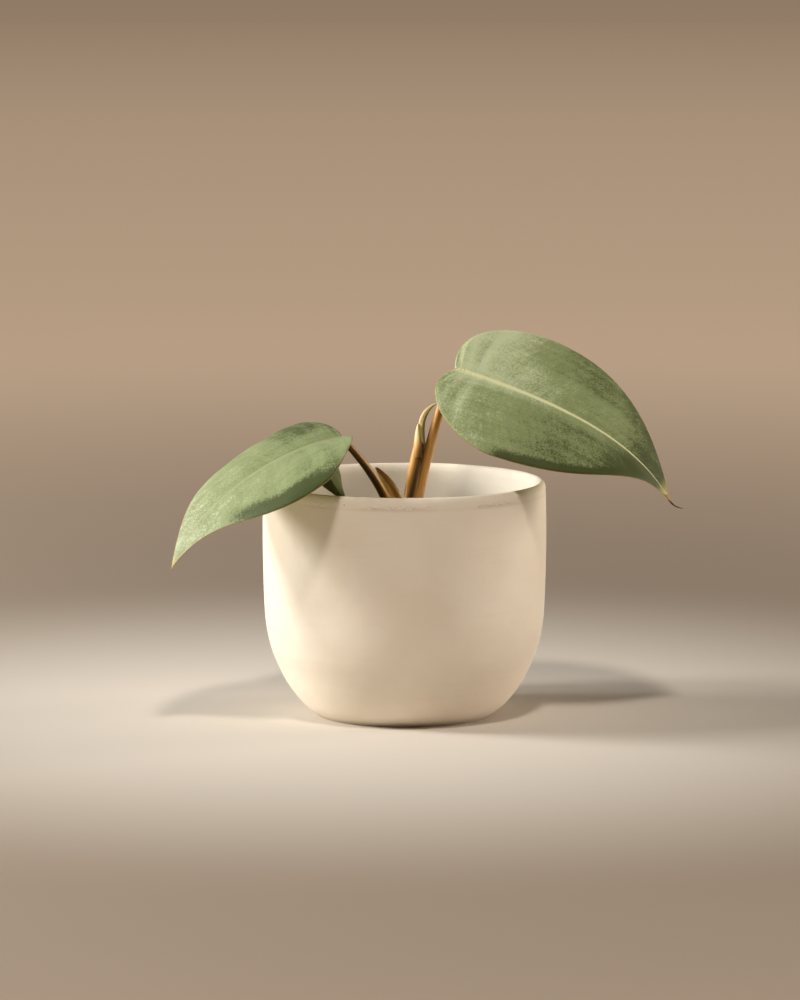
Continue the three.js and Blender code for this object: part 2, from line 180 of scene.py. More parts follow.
# %% Make the tools for materials
class Finish:
    """One material and the nodes in it."""

    SPOT_CORE = 0.35

    def __init__(self, name):
        self.material = bpy.data.materials.new(name)
        self.material.use_nodes = True
        self.tree = self.material.node_tree
        self.tree.nodes.clear()
        self.place = self.node("ShaderNodeTexCoord", output="Object")

    def node(self, kind, settings=None, sockets=None, output=0):
        """Any node: its type, its settings, then the values or links of its sockets."""
        made = self.tree.nodes.new(kind)
        for name, value in (settings or {}).items():
            setattr(made, name, value)
        for key, value in (sockets or {}).items():
            socket = made.inputs[key]
            if isinstance(value, Wire):
                self.tree.links.new(value.socket, socket)
            elif socket.type == "VECTOR" and not hasattr(value, "__len__"):
                socket.default_value = (value, value, value)
            elif socket.type == "RGBA":
                socket.default_value = (*value, 1)
            else:
                socket.default_value = value
        return Wire(self, made.outputs[output]) if len(made.outputs) else None

    def measure(self, name):
        """The number that the mesh keeps under this name."""
        return self.node("ShaderNodeAttribute", {"attribute_name": name}, output="Fac")

    def clouds(self, where, detail=2, rough=0.5, scale=1):
        """Cloudy noise from 0 to 1. Where it is read at a stretched vector, it becomes streaks."""
        sockets = {"Vector": where, "Scale": scale, "Detail": detail, "Roughness": rough}
        return self.node("ShaderNodeTexNoise", None, sockets)

    def grain(self, size, detail=2, rough=0.5):
        """Cloudy noise whose clouds are about size millimetres across."""
        return self.clouds(self.place, detail, rough, 1 / (size * MM))

    def ramp(self, value, low, high, start=0, end=1):
        """Goes smoothly from start to end while value goes from low to high."""
        sockets = {"Value": value, "From Min": low, "From Max": high}
        sockets |= {"To Min": start, "To Max": end}
        return self.node("ShaderNodeMapRange", {"interpolation_type": "SMOOTHSTEP"}, sockets)

    def mix(self, mask, one, other):
        """One colour where mask is 0, and the other where it is 1."""
        settings = {"data_type": "RGBA", "clamp_factor": True}
        return self.node("ShaderNodeMix", settings, {0: mask, 6: one, 7: other}, output=2)

    def vector(self, x, y, z):
        return self.node("ShaderNodeCombineXYZ", None, {0: x, 1: y, 2: z})

    def part(self, axis):
        """How far along x (0), y (1) or z (2) the point lies, in metres."""
        return self.node("ShaderNodeSeparateXYZ", None, {0: self.place}, output=axis)

    def length(self, vector):
        settings = {"operation": "LENGTH"}
        return self.node("ShaderNodeVectorMath", settings, {0: vector}, output="Value")

    def near(self, point, radius):
        """A soft round spot: 1 at the point, in millimetres, and 0 from radius outwards."""
        distance = self.length(self.place - tuple(MM * value for value in point))
        return self.ramp(distance, radius * self.SPOT_CORE * MM, radius * MM, 1, 0)

    def surface(self, colour, roughness, height=None, depth=0.1, **constants):
        """The shader itself. Height goes from 0 to 1, and depth is what that is in millimetres."""
        sockets = {"Base Color": colour, "Roughness": roughness}
        if height is not None:
            bump = {"Height": height, "Distance": depth * MM}
            sockets["Normal"] = self.node("ShaderNodeBump", None, bump)
        sockets |= {name.replace("_", " "): value for name, value in constants.items()}
        shader = self.node("ShaderNodeBsdfPrincipled", None, sockets)
        self.node("ShaderNodeOutputMaterial", None, {"Surface": shader})
        return self.material


# %% [markdown]
# ## From bmesh to a piece
#
# Every piece is made in a bmesh, in millimetres, and then handed over here. The helper joins double
# points where a shape closes on itself, turns the faces outwards, scales the mesh to metres and
# ties the piece to the frame: it rides on the body, and stands for the plain node it replaces.

# %% Make the helper that finishes a piece
WELD = 1e-4


def finish_piece(name, bm, node, material):
    bmesh.ops.remove_doubles(bm, verts=bm.verts, dist=WELD)
    bmesh.ops.recalc_face_normals(bm, faces=bm.faces)
    bmesh.ops.scale(bm, vec=Vector((MM, MM, MM)), verts=bm.verts)
    mesh = bpy.data.meshes.new(name)
    bm.to_mesh(mesh)
    bm.free()
    mesh.shade_smooth()
    mesh.materials.append(material)
    piece = bpy.data.objects.new(name, mesh)
    bpy.context.scene.collection.objects.link(piece)
    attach(piece, "root")
    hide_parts(node)
    size = [round(side / MM, 1) for side in piece.dimensions]
    print(f"{name}: {len(mesh.polygons)} faces, {size} mm")


# %% [markdown]
# ## The floor
#
# The pot stands on a plain pale floor. It could be a plane with a backdrop, but a backdrop shows
# its edges from the side. So it is one wide dish: flat in the middle, and turned up far away. Like
# the pot, it is spun from a half section, which closes without a seam once the full turn is merged.
# Near the pot it is pale. Farther off it takes on a warm beige, and a faint glow of its own makes
# up for the lamps, which stand too close to reach that far.

# %% Lay the floor
FLOOR_SECTION = [(0, 0), (1, 0), (8, 0), (11, 0.5), (13, 1.6), (14.5, 4)]
FLOOR_STEPS = 96


def spun(bm, section, steps):
    """Spins a half section, given as radius and height, once round the upright axis."""
    corners = [bm.verts.new((radius, 0, height)) for radius, height in section]
    edges = [bm.edges.new(pair) for pair in zip(corners, corners[1:])]
    bmesh.ops.spin(
        bm, geom=corners + edges, cent=(0, 0, 0), axis=(0, 0, 1), angle=2 * math.pi, steps=steps,
        use_merge=True,
    )


paper = Finish("pale_floor")
paper_away = paper.length(paper.place)
near_to_far = paper.ramp(paper_away, 0.09, 0.46)
paper_tone = paper.mix(near_to_far, shown(206, 198, 188), shown(140, 125, 110))
paper_glow = paper.mix(paper.ramp(paper_away, 0.2, 1.8), (0, 0, 0), shown(172, 148, 124))
paper_glow = paper.mix(paper.ramp(paper_away, 2, 12), paper_glow, shown(122, 104, 86))
paper_material = paper.surface(
    paper_tone, 0.9, paper.grain(0.7, 3), 0.02, Emission_Color=paper_glow, Emission_Strength=1,
)

bm = bmesh.new()
spun(bm, FLOOR_SECTION, FLOOR_STEPS)
bmesh.ops.remove_doubles(bm, verts=bm.verts, dist=MM)
bmesh.ops.recalc_face_normals(bm, faces=bm.faces)
floor_mesh = bpy.data.meshes.new("floor")
bm.to_mesh(floor_mesh)
bm.free()
floor_mesh.materials.append(paper_material)
floor = bpy.data.objects.new("floor", floor_mesh)
bpy.context.scene.collection.objects.link(floor)
print(f"the floor is {2 * FLOOR_SECTION[-1][0]} m wide and has {len(floor_mesh.polygons)} faces")

# %% [markdown]
# ## The ceramic pot
#
# A thrown or cast pot is round, so its half section is drawn once and spun about the upright axis.
# The section goes up the outside, over the lip and down the inside. A few measured points give
# each side, and a soft line through them gives the rest.

# %% Draw the pot's half section
POT_OUTSIDE = [
    (43, 0), (50.4, 5.8), (58, 15.6), (63.2, 26), (66.7, 36), (69, 51), (70, 82), (69.7, 111.5),
]
POT_INSIDE = [(65.5, 111.5), (66, 88), (65.2, 58), (62.6, 39), (57.6, 25), (50, 13), (42.6, 6.4)]
POT_HEIGHT = 116
POT_FLOOR = 6
LIP_STEPS = 14


def smooth_line(points, steps):
    """A soft line through all the points, with steps pieces between two of them."""
    line = []
    ends = [points[0], *points, points[-1]]
    for before, start, end, after in zip(ends, ends[1:], ends[2:], ends[3:]):
        for step in range(steps):
            t = step / steps
            line.append(tuple(
                b + 0.5 * t * (c - a + t * (2 * a - 5 * b + 4 * c - d + t * (3 * (b - c) + d - a)))
                for a, b, c, d in zip(before, start, end, after)
            ))
    return [*line, points[-1]]


def pot_section():
    outside = smooth_line(POT_OUTSIDE, 9)
    inside = smooth_line(POT_INSIDE, 7)
    lip = []
    for step in range(1, LIP_STEPS):
        turn = math.pi * step / LIP_STEPS
        share = (1 - math.cos(turn)) / 2
        radius = outside[-1][0] + (inside[0][0] - outside[-1][0]) * share
        lip.append((radius, outside[-1][1] + math.sin(turn) * (POT_HEIGHT - outside[-1][1])))
    return [(0, 0), *outside, *lip, *inside, (40, POT_FLOOR), (0, POT_FLOOR)]


section = pot_section()
print(f"the half section of the pot has {len(section)} points")

# %% [markdown]
# The clay isn't perfect: the lip wavers by a few tenths of a millimetre, and a shallow rough groove
# runs round just below it, where the glaze was wiped. A Displace modifier could do this, but moving
# the points in code keeps the foot flat and the groove at its exact height.

# %% Spin the pot
POT_STEPS = 180
GROOVE_HEIGHT = 110.6
GROOVE_DEPTH = 0.42
GROOVE_ROUGHNESS = 0.4
GROOVE_WIDTH = 0.75
OUTER_WALL = 67
LIP_WAVER = 0.28
LIP_START, LIP_REACH = 104, 12
WAVE_SIZE, RIPPLE_SIZE = (34, 34, 30), (5, 5, 1.6)


def smooth(t):
    t = min(max(t, 0), 1)
    return t * t * (3 - 2 * t)


def clay_noise(point, size):
    return noise.noise(Vector([value / side for value, side in zip(point, size)]))


def clay_hand(point):
    """Where this point of the pot lies, once a hand has made it."""
    x, y, z = point
    radius = math.hypot(x, y)
    if radius < 1:
        return point
    wave = clay_noise(point, WAVE_SIZE)
    inward = 0.12 + 0.1 * wave
    away = (z - GROOVE_HEIGHT) / GROOVE_WIDTH
    if radius > OUTER_WALL:
        ripple = GROOVE_ROUGHNESS * clay_noise(point, RIPPLE_SIZE)
        inward += (GROOVE_DEPTH + ripple) * math.exp(-away * away)
    factor = (radius - inward) / radius if z > 1 else 1
    sink = LIP_WAVER * (0.5 + 0.9 * wave) * smooth((z - LIP_START) / LIP_REACH)
    return Vector((x * factor, y * factor, z - sink))


bm = bmesh.new()
spun(bm, section, POT_STEPS)
for corner in bm.verts:
    corner.co = clay_hand(corner.co)

# %% [markdown]
# The glaze is a matte cream slip. Its colour drifts a little over the wall, fine sand in the clay
# makes it slightly rough, and a few iron specks have burnt through. The foot is bare clay. Just
# below the lip the wiped glaze has dried in a broken line of small beads, which stand out as bump.
# Under them a faint darker line is painted shade, in the shallow groove. An image wrapped round the
# pot would show where it closes. So all of this is noise that is read in space, and masks made from
# the height above the foot.

# %% Glaze the pot
POT_SPECKS = [
    ((-29.2, -63.6, 111.9), 0.75), ((30.0, -63.2, 113.8), 0.7), ((17.5, -66.9, 39.2), 0.7),
    ((3.7, -68.4, 32.0), 0.5), ((-22.4, -62.2, 25.6), 0.8), ((-11.0, 69.0, 80.0), 0.7),
    ((55.0, 42.0, 60.0), 0.6), ((-48.0, 50.0, 96.0), 0.6), ((66.0, -20.0, 70.0), 0.5),
]
# The second height is that of the painted shade in the groove under the beads.
BEADS_HEIGHT, GROOVE_SHADE_HEIGHT = 0.1113, 0.1099
GLAZE_RELIEF = 0.16

glaze = Finish("cream_glaze")
drift = glaze.grain(38, 3)
sand = glaze.grain(0.9, 4, rough=0.65)
lumps = glaze.grain(6, 3)
height = glaze.part(2)
rings = glaze.clouds(glaze.place * (30, 30, 420), 3, 0.6)
cream = glaze.mix(glaze.ramp(drift, 0.3, 0.7), shown(245, 235, 219), shown(239, 227, 209))
cream = glaze.mix(glaze.ramp(sand, 0.58, 0.8) * 0.2, cream, shown(222, 206, 182))
cream = glaze.mix(glaze.ramp(rings, 0.5, 0.72) * 0.06, cream, shown(216, 200, 178))
worn = glaze.ramp(height, 0.1125, 0.116) * glaze.ramp(glaze.grain(5, 4), 0.42, 0.7)
cream = glaze.mix(worn * 0.3, cream, shown(222, 205, 180))
foot = glaze.ramp(height, 0.0006, 0.003, 1, 0)
cream = glaze.mix(foot * 0.5, cream, shown(206, 184, 152))
for point, radius in POT_SPECKS:
    cream = glaze.mix(glaze.near(point, radius) * 0.8, cream, shown(70, 52, 38))
outside = glaze.ramp(glaze.length(glaze.place * (1, 1, 0)), 0.066, 0.068)
stretches = glaze.grain(24, 1)
beads = glaze.ramp(glaze.grain(1.6, 2), 0.4, 0.62) * glaze.ramp(stretches, 0.42, 0.56)
beads = beads * outside * glaze.ramp(abs(height - BEADS_HEIGHT), 0.0004, 0.0011, 1, 0)
# A faint darker line in the groove under the beads: painted shade.
painted_groove_shade = outside * glaze.ramp(abs(height - GROOVE_SHADE_HEIGHT), 0.0001, 0.0012, 1, 0)
painted_groove_shade = painted_groove_shade * glaze.ramp(stretches, 0.36, 0.56, 0.3, 1)
cream = glaze.mix(painted_groove_shade * 0.22, cream, shown(190, 168, 138))
glaze_height = sand * 0.4 + lumps * 0.45 + rings * 0.1 + beads * 1.6
glaze_material = glaze.surface(
    cream, glaze.ramp(lumps, 0.3, 0.7, 0.62, 0.8), glaze_height, GLAZE_RELIEF,
    Specular_IOR_Level=0.35,
)
finish_piece("ceramic_pot", bm, "pot", glaze_material)

# %% [markdown]
# ## Curves to grow things along
#
# Stalks, roots, the midribs of the leaves and the young leaf all follow cubic curves. Blender's own
# curves could be bevelled along them, but a leaf needs the point and the direction at any place
# along its midrib. So this class walks such a curve by its length, and rings and veins keep even
# spacing.

# %% Make the curve
class Shoot:
    """A cubic curve, walked by its length from 0 to 1."""

    STEPS = 200

    def __init__(self, points):
        self.points = [Vector(point) for point in points]
        walk = [self.at(step / self.STEPS) for step in range(self.STEPS + 1)]
        self.lengths = [0.0]
        for start, end in zip(walk, walk[1:]):
            self.lengths.append(self.lengths[-1] + (end - start).length)
        self.length = self.lengths[-1]

    def at(self, t):
        a, b, c, d = self.points
        rest = 1 - t
        return a * rest ** 3 + b * (3 * rest * rest * t) + c * (3 * rest * t * t) + d * t ** 3

    def share(self, walked):
        goal = min(max(walked, 0), 1) * self.length
        step = min(bisect_right(self.lengths, goal) - 1, self.STEPS - 1)
        low, high = self.lengths[step], self.lengths[step + 1]
        return (step + (goal - low) / (high - low)) / self.STEPS

    def point(self, walked):
        return self.at(self.share(walked))

    def direction(self, walked):
        t = self.share(walked)
        a, b, c, d = self.points
        rest = 1 - t
        slope = (b - a) * (rest * rest) + (c - b) * (2 * rest * t) + (d - c) * (t * t)
        return slope.normalized()


# %% [markdown]
# ## Stalks
#
# A stalk is a cylinder of rings, bent along a curve. No living stalk is quite round or even, so its
# radius follows a few given ones, rounds off at both ends, and wavers a little. Each point keeps
# where it lies round and along the stalk, for the streaks in its skin.

# %% Make the stalk helper
THINNEST = 0.02


def across(shoot, t):
    """The directions across an upright curve: to the right, and towards the viewer."""
    along = shoot.direction(t)
    side = Vector((0, 1, 0)).cross(along).normalized()
    return side, side.cross(along)


def keep_measures(bm, names):
    return [bm.verts.layers.float.get(name) or bm.verts.layers.float.new(name) for name in names]


def pour(loose, bm):
    """Adds a part made in a small bmesh of its own to a larger one."""
    copy = bpy.data.meshes.new("loose_part")
    loose.to_mesh(copy)
    loose.free()
    bm.from_mesh(copy)
    bpy.data.meshes.remove(copy)


def grow(bm, path, radius_at, sides, rings):
    """Grows a closed stalk: a cylinder of rings, bent along a path. It keeps where each point lies
    round the stalk, as side and front, and along it in millimetres."""
    shoot = Shoot(path)
    rod = bmesh.new()
    side_of, front_of, along_of = keep_measures(rod, ["side", "front", "along"])
    bmesh.ops.create_cone(rod, cap_ends=True, segments=sides, radius1=1, radius2=1, depth=1)
    upright = [edge for edge in rod.edges if abs(edge.verts[0].co.z - edge.verts[1].co.z) > 0.5]
    bmesh.ops.subdivide_edges(rod, edges=upright, cuts=rings - 1, use_grid_fill=True)
    for corner in rod.verts:
        x, y, z = corner.co
        t = min(max(z + 0.5, 0), 1)
        turn = math.atan2(y, x)
        side, front = across(shoot, t)
        radius = radius_at(t, turn)
        corner.co = shoot.point(t) + (side * math.cos(turn) + front * math.sin(turn)) * radius
        corner[side_of], corner[front_of] = math.cos(turn), math.sin(turn)
        corner[along_of] = t * shoot.length
    pour(rod, bm)


def blend(values, t):
    """The value at t of numbers spread evenly from 0 to 1."""
    at = min(max(t, 0), 1) * (len(values) - 1)
    low = min(int(at), len(values) - 2)
    return values[low] + (values[low + 1] - values[low]) * (at - low)


def rounded(t, length, cap):
    """A share of the full radius, which rounds off both ends of a stalk over the length of cap."""
    away = min(t, 1 - t) * length / cap
    return math.sqrt(1 - (1 - min(away, 1)) ** 2) if away < 1 else 1


def living_radius(radii, length, cap, waver, pitch, girth=1):
    """The radius of a stalk. Waver is a share of it, and pitch and girth say how fast it wavers."""
    def radius_at(t, turn):
        where = Vector((girth * math.cos(turn), girth * math.sin(turn), pitch * t))
        uneven = 1 + waver * noise.noise(where)
        return max(blend(radii, t) * rounded(t, length, cap) * uneven, THINNEST)
    return radius_at


trial = living_radius([2, 1], 50, 0.8, 0, 1)
print("a plain trial stalk has the radii", [round(trial(step / 4, 0), 2) for step in range(5)])


# %% [markdown]
# ## The nursery pot inside
#
# The plant still grows in its thin black plastic pot, which stands loose inside the ceramic one.
# Such a pot is blown from one sheet, so it is made as one: a disc with drain holes, whose edge is
# pulled up into a wall and rolled over at the rim. Only then is the sheet given its thickness.

# %% Make the nursery pot
TUB_FOOT, TUB_TOP = 6.3, 97.3
TUB_BASE_RADIUS, TUB_TOP_RADIUS = 41.5, 59
TUB_WALL = 1.2
DRAIN_HOLES, DRAIN_RADIUS, DRAIN_RING = 8, 4, 30
TUB_STEPS, HOLE_STEPS, WALL_STEPS = 120, 24, 18
TUB_GROOVE, GROOVE_STEPS = 0.35, (15, 16)


def circle(bm, radius, height, steps, centre=(0, 0)):
    matrix = Matrix.Translation((*centre, height))
    corners = bmesh.ops.create_circle(bm, segments=steps, radius=radius, matrix=matrix)["verts"]
    return list({edge for corner in corners for edge in corner.link_edges})


bm = bmesh.new()
rim = circle(bm, TUB_BASE_RADIUS - 1, TUB_FOOT, TUB_STEPS)
holes = []
for hole in range(DRAIN_HOLES):
    turn = 2 * math.pi * hole / DRAIN_HOLES
    centre = (DRAIN_RING * math.cos(turn), DRAIN_RING * math.sin(turn))
    holes += circle(bm, DRAIN_RADIUS, TUB_FOOT, HOLE_STEPS, centre)
bmesh.ops.triangle_fill(bm, use_beauty=True, edges=rim + holes, normal=(0, 0, 1))

tub_profile = [(TUB_BASE_RADIUS, TUB_FOOT + 0.5), (TUB_BASE_RADIUS + 0.2, TUB_FOOT + 1.5)]
for step in range(1, WALL_STEPS + 1):
    share = step / WALL_STEPS
    radius = TUB_BASE_RADIUS + 0.2 + (TUB_TOP_RADIUS - TUB_BASE_RADIUS - 0.2) * share
    if step in GROOVE_STEPS:
        radius -= TUB_GROOVE
    tub_profile.append((radius, TUB_FOOT + 1.5 + (TUB_TOP - 3 - TUB_FOOT) * share))
tub_profile += [(59.4, 96.8), (60.1, 97.2), (60.8, 96.9), (61.1, 96.2), (61.1, 93.4)]
for radius, height in tub_profile:
    pulled = bmesh.ops.extrude_edge_only(bm, edges=rim)["geom"]
    rim = [item for item in pulled if isinstance(item, bmesh.types.BMEdge)]
    for corner in {corner for edge in rim for corner in edge.verts}:
        flat = math.hypot(corner.co.x, corner.co.y)
        corner.co = (corner.co.x * radius / flat, corner.co.y * radius / flat, height)
bmesh.ops.recalc_face_normals(bm, faces=bm.faces)
bmesh.ops.solidify(bm, geom=bm.faces[:], thickness=TUB_WALL)
print(f"the nursery pot has {DRAIN_HOLES} drain holes and a wall of {TUB_WALL} mm")

# %% Colour the nursery pot
plastic = Finish("black_nursery_plastic")
scuffs = plastic.grain(7, 5, rough=0.7)
dust = plastic.ramp(plastic.grain(2.2, 4), 0.5, 0.75)
plastic_tone = plastic.mix(scuffs, shown(34, 34, 35), shown(50, 49, 47))
plastic_tone = plastic.mix(dust * 0.3, plastic_tone, shown(98, 84, 68))
plastic_relief = scuffs * 0.6 + plastic.grain(0.6, 2) * 0.4
plastic_material = plastic.surface(
    plastic_tone, plastic.ramp(scuffs, 0.3, 0.7, 0.42, 0.62), plastic_relief, 0.05,
)
finish_piece("nursery_pot", bm, "inner_pot", plastic_material)

# %% [markdown]
# ## The potting mix
#
# The mix is coarse: pieces of fir bark, white perlite and coir in dark peat. The body of it is one
# lumpy cake, spun to the shape of the nursery pot. On top lie pieces cut from three simple forms:
# blocks with bevelled edges for the bark, small rough balls for the perlite, and thin bent rods for
# the coir. Each loose piece keeps its kind and a random tone, so that one material can colour all.

# %% Bake the cake of soil
SOIL_FOOT, SOIL_LEVEL = 7.8, 88.5
SOIL_BASE_RADIUS, SOIL_TOP_RADIUS = 40.29, 55.81
CAKE, BARK, PERLITE, COIR = 0, 1, 2, 3
SOIL_MEASURES = ["kind", "tone"]
CAKE_SIDE_STEPS, CAKE_TOP_STEPS, CAKE_SPIN_STEPS = 16, 40, 140


def soil_top(x, y):
    """The height of the soil, with the low lumps of the solid model."""
    edge = min(1, 4 * (1 - math.hypot(x, y) / SOIL_TOP_RADIUS))
    lump = math.sin(x / 6.1 + 0.7) * math.cos(y / 7.3) + 0.6 * math.sin((x + 2 * y) / 4.7)
    return SOIL_LEVEL + 1.1 * lump * max(edge, 0)


bm = bmesh.new()
kind_of = keep_measures(bm, SOIL_MEASURES)[0]
cake = [(0, SOIL_FOOT)]
for step in range(CAKE_SIDE_STEPS + 1):
    share = step / CAKE_SIDE_STEPS
    radius = SOIL_BASE_RADIUS + (SOIL_TOP_RADIUS - SOIL_BASE_RADIUS) * share
    cake.append((radius, SOIL_FOOT + (SOIL_LEVEL - SOIL_FOOT) * share))
for step in range(CAKE_TOP_STEPS - 1, -1, -1):
    cake.append((SOIL_TOP_RADIUS * step / CAKE_TOP_STEPS, SOIL_LEVEL))
spun(bm, cake, CAKE_SPIN_STEPS)
for corner in bm.verts:
    x, y, z = corner.co
    if z > SOIL_LEVEL - 0.1:
        crumbs = noise.noise(Vector((x / 2.6, y / 2.6, 0))) + 0.6 * noise.noise(Vector((x, y, 5)))
        corner.co.z = soil_top(x, y) + 0.7 * crumbs * (math.hypot(x, y) < SOIL_TOP_RADIUS - 1)
    corner[kind_of] = CAKE
print(f"the cake of soil has {len(bm.verts)} points")

# %% Make the helpers for loose pieces
FULL_TURN = 6.28

dice = random.Random(11)


def loose_place(reach=SOIL_TOP_RADIUS - 5):
    distance, turn = reach * math.sqrt(dice.random()), dice.uniform(0, 2 * math.pi)
    x, y = distance * math.cos(turn), distance * math.sin(turn)
    return Vector((x, y, soil_top(x, y)))


def tumbled(place, tilt=0.35):
    """A matrix that sets a loose piece down at a random turn, nearly flat."""
    over_x = Matrix.Rotation(dice.uniform(-tilt, tilt), 4, "X")
    over_y = Matrix.Rotation(dice.uniform(-tilt, tilt), 4, "Y")
    turned = Matrix.Rotation(dice.uniform(0, FULL_TURN), 4, "Z")
    return Matrix.Translation(place) @ turned @ over_x @ over_y


def drop_in(bm, loose, kind):
    """Adds one loose piece to the mix, with its kind and a random tone."""
    kind_of, tone_of = keep_measures(loose, SOIL_MEASURES)
    tone = dice.random()
    for corner in loose.verts:
        corner[kind_of], corner[tone_of] = kind, tone
    pour(loose, bm)


# %% Scatter the bark
BARK_CHIPS, LARGE_CHIPS = 150, 26
LARGEST_CHIP = 9.5
GOLDEN_TURN = 2.4
LARGE_CHIP_HEIGHT = SOIL_LEVEL + 0.8

for chip in range(BARK_CHIPS):
    if chip < LARGE_CHIPS:
        size, turn = dice.uniform(5, LARGEST_CHIP), chip * GOLDEN_TURN + dice.random()
        distance = (SOIL_TOP_RADIUS - LARGEST_CHIP) * math.sqrt((chip + 0.5) / LARGE_CHIPS)
        place = Vector((distance * math.cos(turn), distance * math.sin(turn), LARGE_CHIP_HEIGHT))
    else:
        size, place = dice.uniform(2.4, 5), loose_place()
    sides = (size, size * dice.uniform(0.4, 0.7), size * dice.uniform(0.22, 0.38))
    box = Matrix.Diagonal((*sides, 1))
    loose = bmesh.new()
    bmesh.ops.create_cube(loose, size=1, matrix=tumbled(place) @ box)
    bmesh.ops.bevel(
        loose, geom=loose.edges[:], offset=size * 0.06, affect="EDGES", segments=2, profile=0.5,
        material=-1,
    )
    for corner in loose.verts:
        corner.co += noise.noise_vector(corner.co / 2.2) * size * 0.07
    drop_in(bm, loose, BARK)
print(f"{BARK_CHIPS} pieces of bark, {LARGE_CHIPS} of them large")

# %% Scatter the perlite and the coir
PERLITE_GRAINS, COIR_FIBRES = 80, 50
FIBRE_RADIUS = 0.16

for grain in range(PERLITE_GRAINS):
    size = dice.uniform(0.8, 1.9)
    place = Matrix.Translation(loose_place() + Vector((0, 0, size * 0.4)))
    loose = bmesh.new()
    bmesh.ops.create_icosphere(loose, subdivisions=2, radius=size, matrix=place)
    for corner in loose.verts:
        corner.co += noise.noise_vector(corner.co * 1.1) * size * 0.35
    drop_in(bm, loose, PERLITE)

for fibre in range(COIR_FIBRES):
    start = loose_place(SOIL_TOP_RADIUS - 14)
    bend = Vector((dice.uniform(-7, 7), dice.uniform(-7, 7), 0))
    middle = start + bend + Vector((2, -1, 1.2))
    end = start + bend * 1.5
    end.z = soil_top(end.x, end.y)
    fibre_path = [start, start + bend * 0.4 + Vector((0, 0, 1.6)), middle, end]
    loose = bmesh.new()
    grow(loose, fibre_path, lambda t, turn: FIBRE_RADIUS * (1 - 0.6 * t), 6, 14)
    drop_in(bm, loose, COIR)
print(f"{PERLITE_GRAINS} grains of perlite and {COIR_FIBRES} coir fibres")

# %% Colour the potting mix
mix = Finish("bark_and_perlite_mix")
kind, tone = mix.measure("kind"), mix.measure("tone")
crumbs = mix.grain(1.4, 5, rough=0.7)
bark_grain = mix.clouds(mix.place * (700, 260, 1500), 4)
peat = mix.mix(mix.ramp(crumbs, 0.35, 0.65), shown(38, 27, 20), shown(74, 54, 38))
bark = mix.mix(tone, shown(92, 62, 42), shown(146, 104, 68))
bark = mix.mix(mix.ramp(bark_grain, 0.42, 0.62) * 0.6, bark, shown(58, 40, 28))
white = mix.mix(mix.ramp(crumbs, 0.4, 0.7), shown(226, 222, 212), shown(186, 176, 158))
coir = mix.mix(tone, shown(150, 108, 66), shown(178, 136, 90))
mix_tone = mix.mix(mix.ramp(kind, 0.4, 0.6), peat, bark)
mix_tone = mix.mix(mix.ramp(kind, 1.4, 1.6), mix_tone, white)
mix_tone = mix.mix(mix.ramp(kind, 2.4, 2.6), mix_tone, coir)
mix_material = mix.surface(
    mix_tone, mix.ramp(crumbs, 0.3, 0.7, 0.8, 0.97), crumbs * 0.6 + bark_grain * 0.4, 0.3,
)
finish_piece("potting_mix", bm, "soil", mix_material)

# %% [markdown]
# ## The creeping stem
#
# This plant doesn't climb. A thick stem creeps over the soil, and each leaf stalk leaves a ring
# shaped scar on it when it falls. The scars could be sculpted, but a formula for the radius keeps
# them evenly spaced. So the stem is grown like a stalk, with ridges for the scars, and short roots
# reach down from it into the mix.

# %% Grow the stem and its roots
STEM = [(-30, 5, 84), (-18, 4, 90), (-8, 2.5, 91), (9.5, 0.5, 89.5)]
STEM_RADIUS = 6.6
SCARS = 6
STEM_SIDES, STEM_RINGS = 56, 150
ROOTS = [
    ([(-22, 0, 88), (-24, -8, 90), (-26, -13, 88), (-27, -16, 80)], 1.5),
    ([(-14, 6, 90), (-15, 13, 92), (-17, 17, 88), (-18, 19, 80)], 1.3),
    ([(2, -3, 89), (5, -9, 91), (8, -13, 88), (9, -15, 80)], 1.4),
]


def stem_radius(t, turn):
    body = STEM_RADIUS * math.sqrt(max(1 - 0.8 * abs(2 * t - 1) ** 5, 0))
    ridge = math.cos(2 * math.pi * SCARS * t)
    bark_bumps = noise.noise(Vector((3 * math.cos(turn), 3 * math.sin(turn), 14 * t)))
    scarred = body + 0.35 * ridge + 0.25 * max(ridge, 0) ** 8 + 0.22 * bark_bumps
    return scarred * rounded(t, 42, 1.5)


bm = bmesh.new()
grow(bm, STEM, lambda t, turn: max(stem_radius(t, turn), THINNEST), STEM_SIDES, STEM_RINGS)
scar_of, along_of = keep_measures(bm, ["scar", "along"])
stem_length = Shoot(STEM).length
for corner in bm.verts:
    corner[scar_of] = math.cos(2 * math.pi * SCARS * corner[along_of] / stem_length)
for path, radius in ROOTS:
    grow(bm, path, living_radius([radius, 0.6 * radius], 20, 0.8, 0.08, 12), 18, 50)
print(f"the stem is {stem_length:.0f} mm long and has {SCARS} scars and {len(ROOTS)} roots")

# %% Colour the stem
stem_skin = Finish("creeping_stem_skin")
stem_mottle = stem_skin.grain(1.8, 4)
mottled = stem_skin.ramp(stem_mottle, 0.35, 0.65)
stem_tone = stem_skin.mix(mottled, shown(118, 100, 52), shown(150, 120, 66))
scarred = stem_skin.ramp(stem_skin.measure("scar") + (stem_mottle - 0.5), 0.5, 1.0)
stem_tone = stem_skin.mix(scarred * 0.8, stem_tone, shown(86, 60, 36))
stem_pits = stem_skin.ramp(stem_skin.grain(0.6, 3), 0.6, 0.75)
stem_tone = stem_skin.mix(stem_pits * 0.4, stem_tone, shown(60, 42, 24))
stem_relief = stem_mottle * 0.5 + stem_skin.grain(0.7, 3) * 0.5
stem_material = stem_skin.surface(stem_tone, 0.62, stem_relief, 0.16)
finish_piece("creeping_stem", bm, "rhizome", stem_material)
